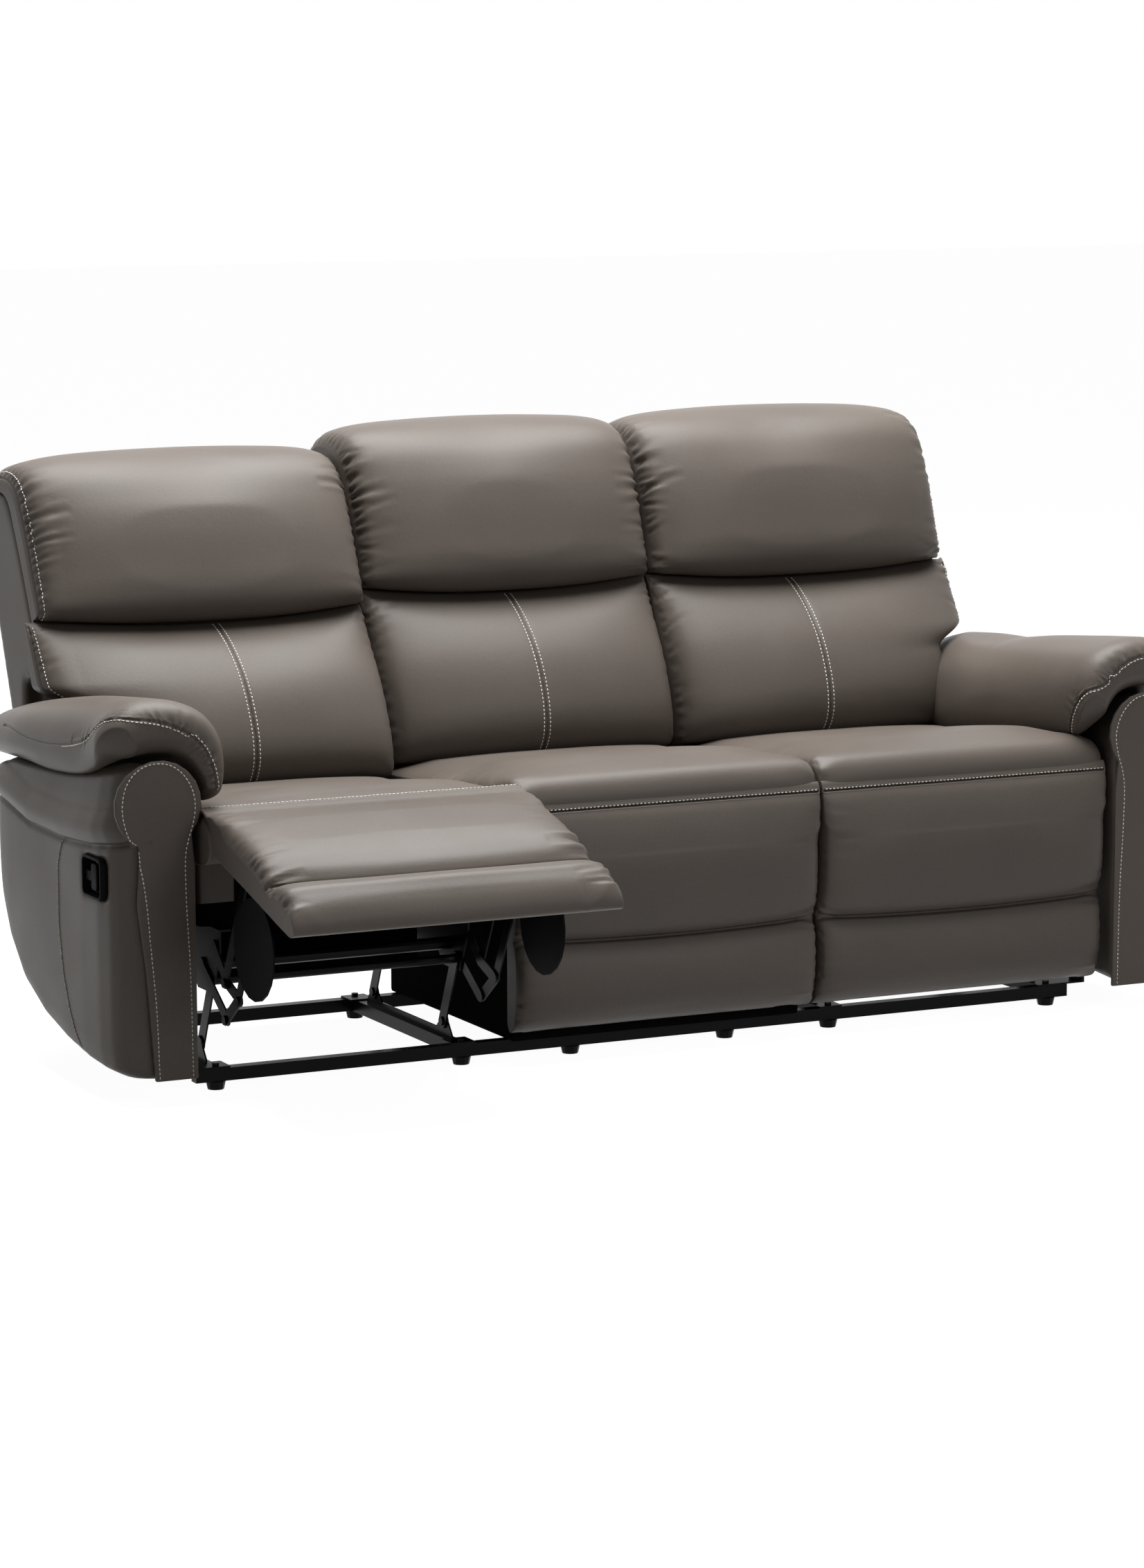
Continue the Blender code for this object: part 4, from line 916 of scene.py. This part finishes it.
arm_inner_x = 0.887
arm_front_y = -0.11
band_width, band_swell = 0.06, 0.011
arm_band_seam = (
    (-1.027, 0.47, 0.452), (-1.027, 0.394, 0.442), (-1.028, 0.286, 0.424), (-1.028, 0.124, 0.421),
    (-1.026, 0.001, 0.427), (-1.011, -0.077, 0.436), (-0.998, -0.098, 0.44))
arm_side_seam = (
    (-1.028, 0.124, 0.421), (-1.029, 0.146, 0.377), (-1.029, 0.147, 0.275), (-1.028, 0.13, 0.192),
    (-1.027, 0.103, 0.13), (-1.024, 0.07, 0.08))
for hand, way in (("left", 1.0), ("right", -1.0)):
    flip = Matrix.Scale(way, 4, (1.0, 0.0, 0.0)) @ Matrix.Translation((0.0, rail_y, 0.0))
    arm_skin = upholstered(f"{hand}_arm_leather", f"{hand}_arm_body", 0.0055, 8)
    band, _ = laid_on(arm_skin, [flip @ Vector(point) for point in arm_band_seam])
    side, _ = laid_on(arm_skin, [flip @ Vector(point) for point in arm_side_seam])
    points, rows = near_path(arm_skin, band, band_width)
    ways = out_of(arm_skin)
    for k, distance, _, step in rows:
        if points[k][2] > band[step][2] and points[k][1] > arm_front_y + rail_y + 0.004:
            points[k] += ways[k] * band_swell * math.sin(math.pi * min(distance / band_width, 1.0))
    set_points(arm_skin, points)
    # Painted shade along the bottoms of the band seam and the side seam.
    pressed(arm_skin, band, 0.004, 0.006, 0.0, 0.6)
    pressed(arm_skin, side, 0.0018, 0.002, 0.0005, 0.75)
    beside = [Vector(point) + Vector((0.0, 0.005, 0.0)) for point in side]
    row = stitches(f"{hand}_arm_side_stitches", arm_skin, [beside])
    dressed(arm_skin, "base", f"{hand}_arm_body")
    threads(row, "base")


# Release handles: a moulded cup with a rounded rim, let into the arm's side, and a T-shaped paddle that
# turns on a pin inside it.
def rounded_block(name, low, high, corner, edge):
    """A block with round corners as seen from the side, and softened edges."""
    bpy.ops.object.select_all(action="DESELECT")
    bpy.ops.mesh.primitive_cube_add(size=1.0, location=(0.0, 0.0, 0.0))
    block = bpy.context.object
    block.name = block.data.name = name
    turned_to("EDIT")
    bpy.ops.mesh.select_all(action="SELECT")
    bpy.ops.transform.resize(value=tuple(high - low), center_override=(0.0, 0.0, 0.0))
    bpy.ops.transform.translate(value=tuple((low + high) / 2))
    bpy.ops.mesh.select_mode(type="EDGE")
    for along_x, offset, segments in ((True, corner, 6), (False, edge, 2)):
        bpy.ops.mesh.select_all(action="DESELECT")
        turned_to("OBJECT")
        for rim in block.data.edges:
            one, other = (block.data.vertices[k].co for k in rim.vertices)
            rim.select = (abs(one.x - other.x) > 1e-6) == along_x
        turned_to("EDIT")
        bpy.ops.mesh.bevel(offset=offset, segments=segments)
    bpy.ops.mesh.select_mode(type="VERT")
    turned_to("OBJECT")
    return block


def combined(piece, other, operation):
    """Cuts the other block out of a piece, or joins it on."""
    applied(piece, "BOOLEAN", operation=operation, solver="EXACT", object=other)
    bpy.data.objects.remove(other)


rim_trim = Vector((0.0, 0.0035, 0.001))
rim_wall = Vector((0.0, 0.007, 0.0055))
grip_trim, stem_half = 0.006, 0.008
for hand, way in (("left", -1.0), ("right", 1.0)):
    low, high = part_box(f"{hand}_handle_cup")
    mouth_x = low.x if way < 0 else high.x
    deep_x = high.x if way < 0 else low.x
    cup_low, cup_high = low + rim_trim, high - rim_trim
    cup_low.x, cup_high.x = sorted((mouth_x - way * 0.002, deep_x))
    cup = rounded_block(f"{hand}_handle_shell", cup_low, cup_high, 0.013, 0.0012)
    hollow_low, hollow_high = low + rim_wall, high - rim_wall
    hollow_low.x, hollow_high.x = sorted((mouth_x + way * 0.01, deep_x + way * 0.003))
    hollow = rounded_block(f"{hand}_handle_hollow", hollow_low, hollow_high, 0.009, 0.001)
    combined(cup, hollow, "DIFFERENCE")
    low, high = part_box(f"{hand}_handle_paddle")
    middle = (low + high) / 2
    grip_low, grip_high = low + Vector((0.0, grip_trim, grip_trim)), high - Vector((0.0, 0.0, grip_trim))
    grip_high.y = low.y + (high.y - low.y) * 0.56
    grip = rounded_block(f"{hand}_handle_grip", grip_low, grip_high, 0.0065, 0.0012)
    stem_low, stem_high = low.copy(), high.copy()
    stem_low.y, stem_low.z, stem_high.z = middle.y, middle.z - stem_half, middle.z + stem_half
    combined(grip, rounded_block(f"{hand}_handle_stem", stem_low, stem_high, 0.003, 0.0008), "UNION")
    for piece, body, solid in ((cup, "base", f"{hand}_handle_cup"),
                               (grip, f"{hand}_handle", f"{hand}_handle_paddle")):
        only(piece)
        bpy.ops.object.shade_smooth_by_angle(angle=math.radians(35.0))
        piece.data.materials.append(black_plastic)
        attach(piece, body)
        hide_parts(solid)


# Arm fronts: a flat padded panel shaped like a keyhole, with one row of stitches inside its edge.
keyhole = (
    (0.953, 0.048), (0.958, 0.172), (0.966, 0.26), (0.974, 0.345), (0.984, 0.4), (1.0, 0.44),
    (1.013, 0.475), (1.0165, 0.503), (1.01, 0.535), (0.995, 0.556), (0.973, 0.569), (0.95, 0.572),
    (0.925, 0.568), (0.902, 0.552), (0.886, 0.528), (0.88, 0.503), (0.883, 0.475), (0.893, 0.445),
    (0.899, 0.42), (0.899, 0.345), (0.893, 0.225), (0.89, 0.048))
keyhole_middle_x, stitched_share = 0.9465, 0.93
stitch_line = smooth_line([(keyhole_middle_x + (x - keyhole_middle_x) * stitched_share, z)
                           for x, z in keyhole], 160)
for hand, way in (("left", -1.0), ("right", 1.0)):
    panel = upholstered(f"{hand}_keyhole_leather", f"{hand}_arm_front_panel", 0.0022, 3)
    points = points_of(panel)
    across = points[:, 0] * way
    inner = np.clip((0.93 - across) / 0.04, 0.0, 1.0) * np.clip((0.45 - points[:, 2]) / 0.05, 0.0, 1.0)
    outer = np.clip((across - 0.97) / 0.03, 0.0, 1.0)
    points[:, 0] += way * (0.004 * outer - 0.005 * inner)
    set_points(panel, points)
    path = [(way * x, arm_front_y + rail_y, z) for x, z in stitch_line]
    row = stitches(f"{hand}_keyhole_stitches", panel, [path])
    dressed(panel, "base", f"{hand}_arm_front_panel")
    threads(row, "base")


# Arm pads: stuffed leather over the arm's top, curled down round its front and its inner side, with one
# gathered and stitched seam along its outer side and over its front.
arm_pad_seam = (
    (-1.016, 0.47, 0.573), (-1.016, 0.418, 0.572), (-1.023, 0.293, 0.569), (-1.027, 0.152, 0.577),
    (-1.028, 0.056, 0.591), (-1.023, -0.011, 0.608), (-1.012, -0.058, 0.626), (-0.994, -0.092, 0.638),
    (-0.966, -0.104, 0.643))
# The last stretch of the seam, down the pad's inner side, is sewn nearer the front on the left arm
arm_pad_inner_seam = {
    "left": ((-0.933, -0.107, 0.637), (-0.909, -0.107, 0.627), (-0.885, -0.106, 0.612),
             (-0.866, -0.104, 0.592), (-0.855, -0.101, 0.569), (-0.848, -0.097, 0.545),
             (-0.847, -0.09, 0.515)),
    "right": ((-0.933, -0.105, 0.642), (-0.905, -0.102, 0.634), (-0.88, -0.096, 0.617),
              (-0.86, -0.086, 0.592), (-0.848, -0.07, 0.562), (-0.845, -0.048, 0.53),
              (-0.85, -0.022, 0.498))}
arm_pad_curl = {"left": 0.11, "right": 0.26}
arm_pad_lift = {"left": 0.0, "right": 0.024}
# Its sections, front to back: out from the arm's inner face and up; first over the pad, then under it
pad_places = (-0.062, 0.04, 0.2, 0.35, 0.46, 0.545)
pad_over = (
    ((-0.03, 0.496), (-0.047, 0.499), (-0.059, 0.524), (-0.063, 0.565), (-0.055, 0.61), (-0.03, 0.645),
     (0.01, 0.664), (0.06, 0.67), (0.105, 0.663), (0.138, 0.643), (0.152, 0.616), (0.15, 0.591),
     (0.137, 0.573)),
    ((-0.03, 0.486), (-0.046, 0.49), (-0.057, 0.516), (-0.059, 0.558), (-0.05, 0.602), (-0.028, 0.634),
     (0.008, 0.652), (0.05, 0.658), (0.095, 0.65), (0.13, 0.628), (0.146, 0.597), (0.148, 0.565),
     (0.14, 0.543)),
    ((-0.027, 0.47), (-0.046, 0.474), (-0.058, 0.5), (-0.06, 0.544), (-0.05, 0.588), (-0.026, 0.618),
     (0.008, 0.635), (0.05, 0.641), (0.093, 0.633), (0.127, 0.611), (0.143, 0.581), (0.145, 0.549),
     (0.136, 0.527)),
    ((-0.03, 0.452), (-0.054, 0.455), (-0.068, 0.478), (-0.07, 0.524), (-0.057, 0.572), (-0.024, 0.603),
     (0.012, 0.613), (0.05, 0.62), (0.092, 0.613), (0.123, 0.594), (0.138, 0.567), (0.14, 0.543),
     (0.131, 0.527)),
    ((-0.022, 0.436), (-0.046, 0.439), (-0.059, 0.46), (-0.06, 0.502), (-0.046, 0.549), (-0.013, 0.584),
     (0.024, 0.597), (0.052, 0.602), (0.086, 0.597), (0.114, 0.58), (0.129, 0.557), (0.132, 0.538),
     (0.124, 0.522)),
    ((-0.012, 0.43), (-0.029, 0.433), (-0.038, 0.455), (-0.038, 0.494), (-0.028, 0.534), (-0.002, 0.567),
     (0.027, 0.58), (0.052, 0.586), (0.083, 0.581), (0.108, 0.567), (0.121, 0.547), (0.123, 0.531),
     (0.116, 0.518)))
pad_under = (
    ((-0.02, 0.504), (-0.0155, 0.53), (-0.001, 0.555), (0.022, 0.575), (0.0595, 0.583), (0.093, 0.58),
     (0.122, 0.573)),
    ((-0.018, 0.493), (-0.012, 0.52), (0.0, 0.54), (0.02, 0.555), (0.055, 0.56), (0.09, 0.556),
     (0.126, 0.541)),
    ((-0.014, 0.479), (-0.008, 0.505), (0.002, 0.518), (0.02, 0.53), (0.055, 0.536), (0.09, 0.534),
     (0.122, 0.524)),
    ((-0.008, 0.464), (-0.003, 0.492), (0.006, 0.507), (0.022, 0.516), (0.055, 0.523), (0.09, 0.524),
     (0.118, 0.521)),
    ((-0.002, 0.456), (0.0, 0.486), (0.008, 0.502), (0.025, 0.509), (0.052, 0.514), (0.085, 0.516),
     (0.11, 0.516)),
    ((-0.001, 0.448), (0.001, 0.478), (0.008, 0.496), (0.028, 0.504), (0.052, 0.508), (0.08, 0.51),
     (0.104, 0.512)))
pad_around = 56
pad_stations = []
for place, over, under in zip(pad_places, pad_over, pad_under):
    both = np.vstack([smooth_line(over, pad_around), smooth_line(under, pad_around)[::-1]])
    pad_stations.append(np.concatenate([[place], both.ravel()]))
pad_rings = [(row[0], row[1:].reshape(-1, 2)) for row in smooth_line(pad_stations, 74)]


def pad_ring(place, both, squeeze=0.0, inner=0.0, outer=0.0, lift=0.0):
    """One ring round the left pad; squeeze draws its two sides together, to close an end, inner and
    outer shorten it from below, to round the end's corners, and lift raises its top towards the rear."""
    steps = np.arange(pad_around)
    rearward = min(max((place - 0.3) / 0.2, 0.0), 1.0)
    rise = lift * rearward * np.clip((both[:, 1] - 0.5) / 0.08, 0.0, 1.0)
    both = both + np.column_stack([np.zeros(len(both)), rise])
    kept = inner * (pad_around - 1) + steps * (1.0 - inner - outer)
    over, under = (np.column_stack([np.interp(kept, steps, line[:, i]) for i in (0, 1)])
                   for line in (both[:pad_around], both[:pad_around - 1:-1]))
    both = np.vstack([over, under[::-1]])
    middle = (both + both[::-1]) / 2
    both = both + (middle - both) * squeeze
    return np.column_stack([-(arm_inner_x + both[:, 0]), np.full(len(both), place + rail_y), both[:, 1]])


def pad_curl(place, most):
    """How far the pad's front is rounded away at its foot, where it curls round the arm's front."""
    return most * min(max((-0.02 - place) / 0.09, 0.0), 1.0) ** 1.6


outer_curl = 0.21
front_both, rear_both = pad_rings[0][1], pad_rings[-1][1]
stitched_from, gathered_from = 0.42, 0.52
for hand in ("left", "right"):
    most, lift = arm_pad_curl[hand], arm_pad_lift[hand]
    rings = [pad_ring(place, front_both, squeeze, pad_curl(place, most), pad_curl(place, outer_curl))
             for place, squeeze in ((-0.1098, 0.88), (-0.1092, 0.66), (-0.1055, 0.44), (-0.0985, 0.25),
                                    (-0.089, 0.11), (-0.0765, 0.03))]
    rings += [pad_ring(place, both, 0.0, pad_curl(place, most), pad_curl(place, outer_curl), lift)
              for place, both in pad_rings]
    rings += [pad_ring(place, rear_both, squeeze, corner, corner, lift) for place, squeeze, corner in
              ((0.562, 0.08, 0.02), (0.575, 0.24, 0.05), (0.584, 0.48, 0.09), (0.588, 0.8, 0.14))]
    pad = skin_over(f"{hand}_arm_pad_leather", rings)
    turn = np.arange(len(points_of(pad))) % (2 * pad_around)
    swollen(pad, turn >= pad_around, 4.0, 0.006)
    refined(pad)
    seam = smooth_line([(x, y + rail_y, z) for x, y, z in arm_pad_seam + arm_pad_inner_seam[hand]], 160)
    seam, normals = laid_on(pad, seam)
    for _ in range(3):
        loose = np.vstack([seam[:1].repeat(8, 0), seam, seam[-1:].repeat(8, 0)])
        seam, normals = laid_on(pad, np.column_stack([np.convolve(loose[:, i], np.ones(17) / 17, "valid")
                                                      for i in range(3)]))
    inward = inward_of(seam, normals, (-0.93, 0.15, 0.66))
    start = int(len(seam) * gathered_from)
    gathered(pad, seam[start:], inward[start:], 0.034, 0.0026, 0.0125, 71)
    gathered(pad, seam[start:], -inward[start:], 0.022, 0.0014, 0.015, 72)
    # Painted shade along the bottom of the seam.
    pressed(pad, seam, 0.0018, 0.0026, 0.0006, 0.7)
    start = int(len(seam) * stitched_from)
    row = stitches(f"{hand}_arm_pad_stitches", pad, [seam[start:] - inward[start:] * 0.0045])
    for made in (pad, row):
        placed(made, Matrix.Identity(4), hand == "right")
    dressed(pad, "base", f"{hand}_arm_pad")
    threads(row, "base")


# Seat boxes of the end seats: padded cheeks in leather at the front corners, the rest in black lining.
for hand in ("left", "right"):
    box = upholstered(f"{hand}_seat_box_skin", f"{hand}_seat_box", 0.006, 3)
    box.data.materials.clear()
    middle_x = sum(corner.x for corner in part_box(f"{hand}_seat_box")) / 2
    low_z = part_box(f"{hand}_seat_chassis")[1].z
    dressed(box, f"{hand}_seat", f"{hand}_seat_box")
    box.data.materials.append(dust_cover)
    for polygon in box.data.polygons:
        centre = polygon.center
        if abs(centre.x - middle_x) < 0.187 or centre.z < low_z - 0.002:
            polygon.material_index = 1
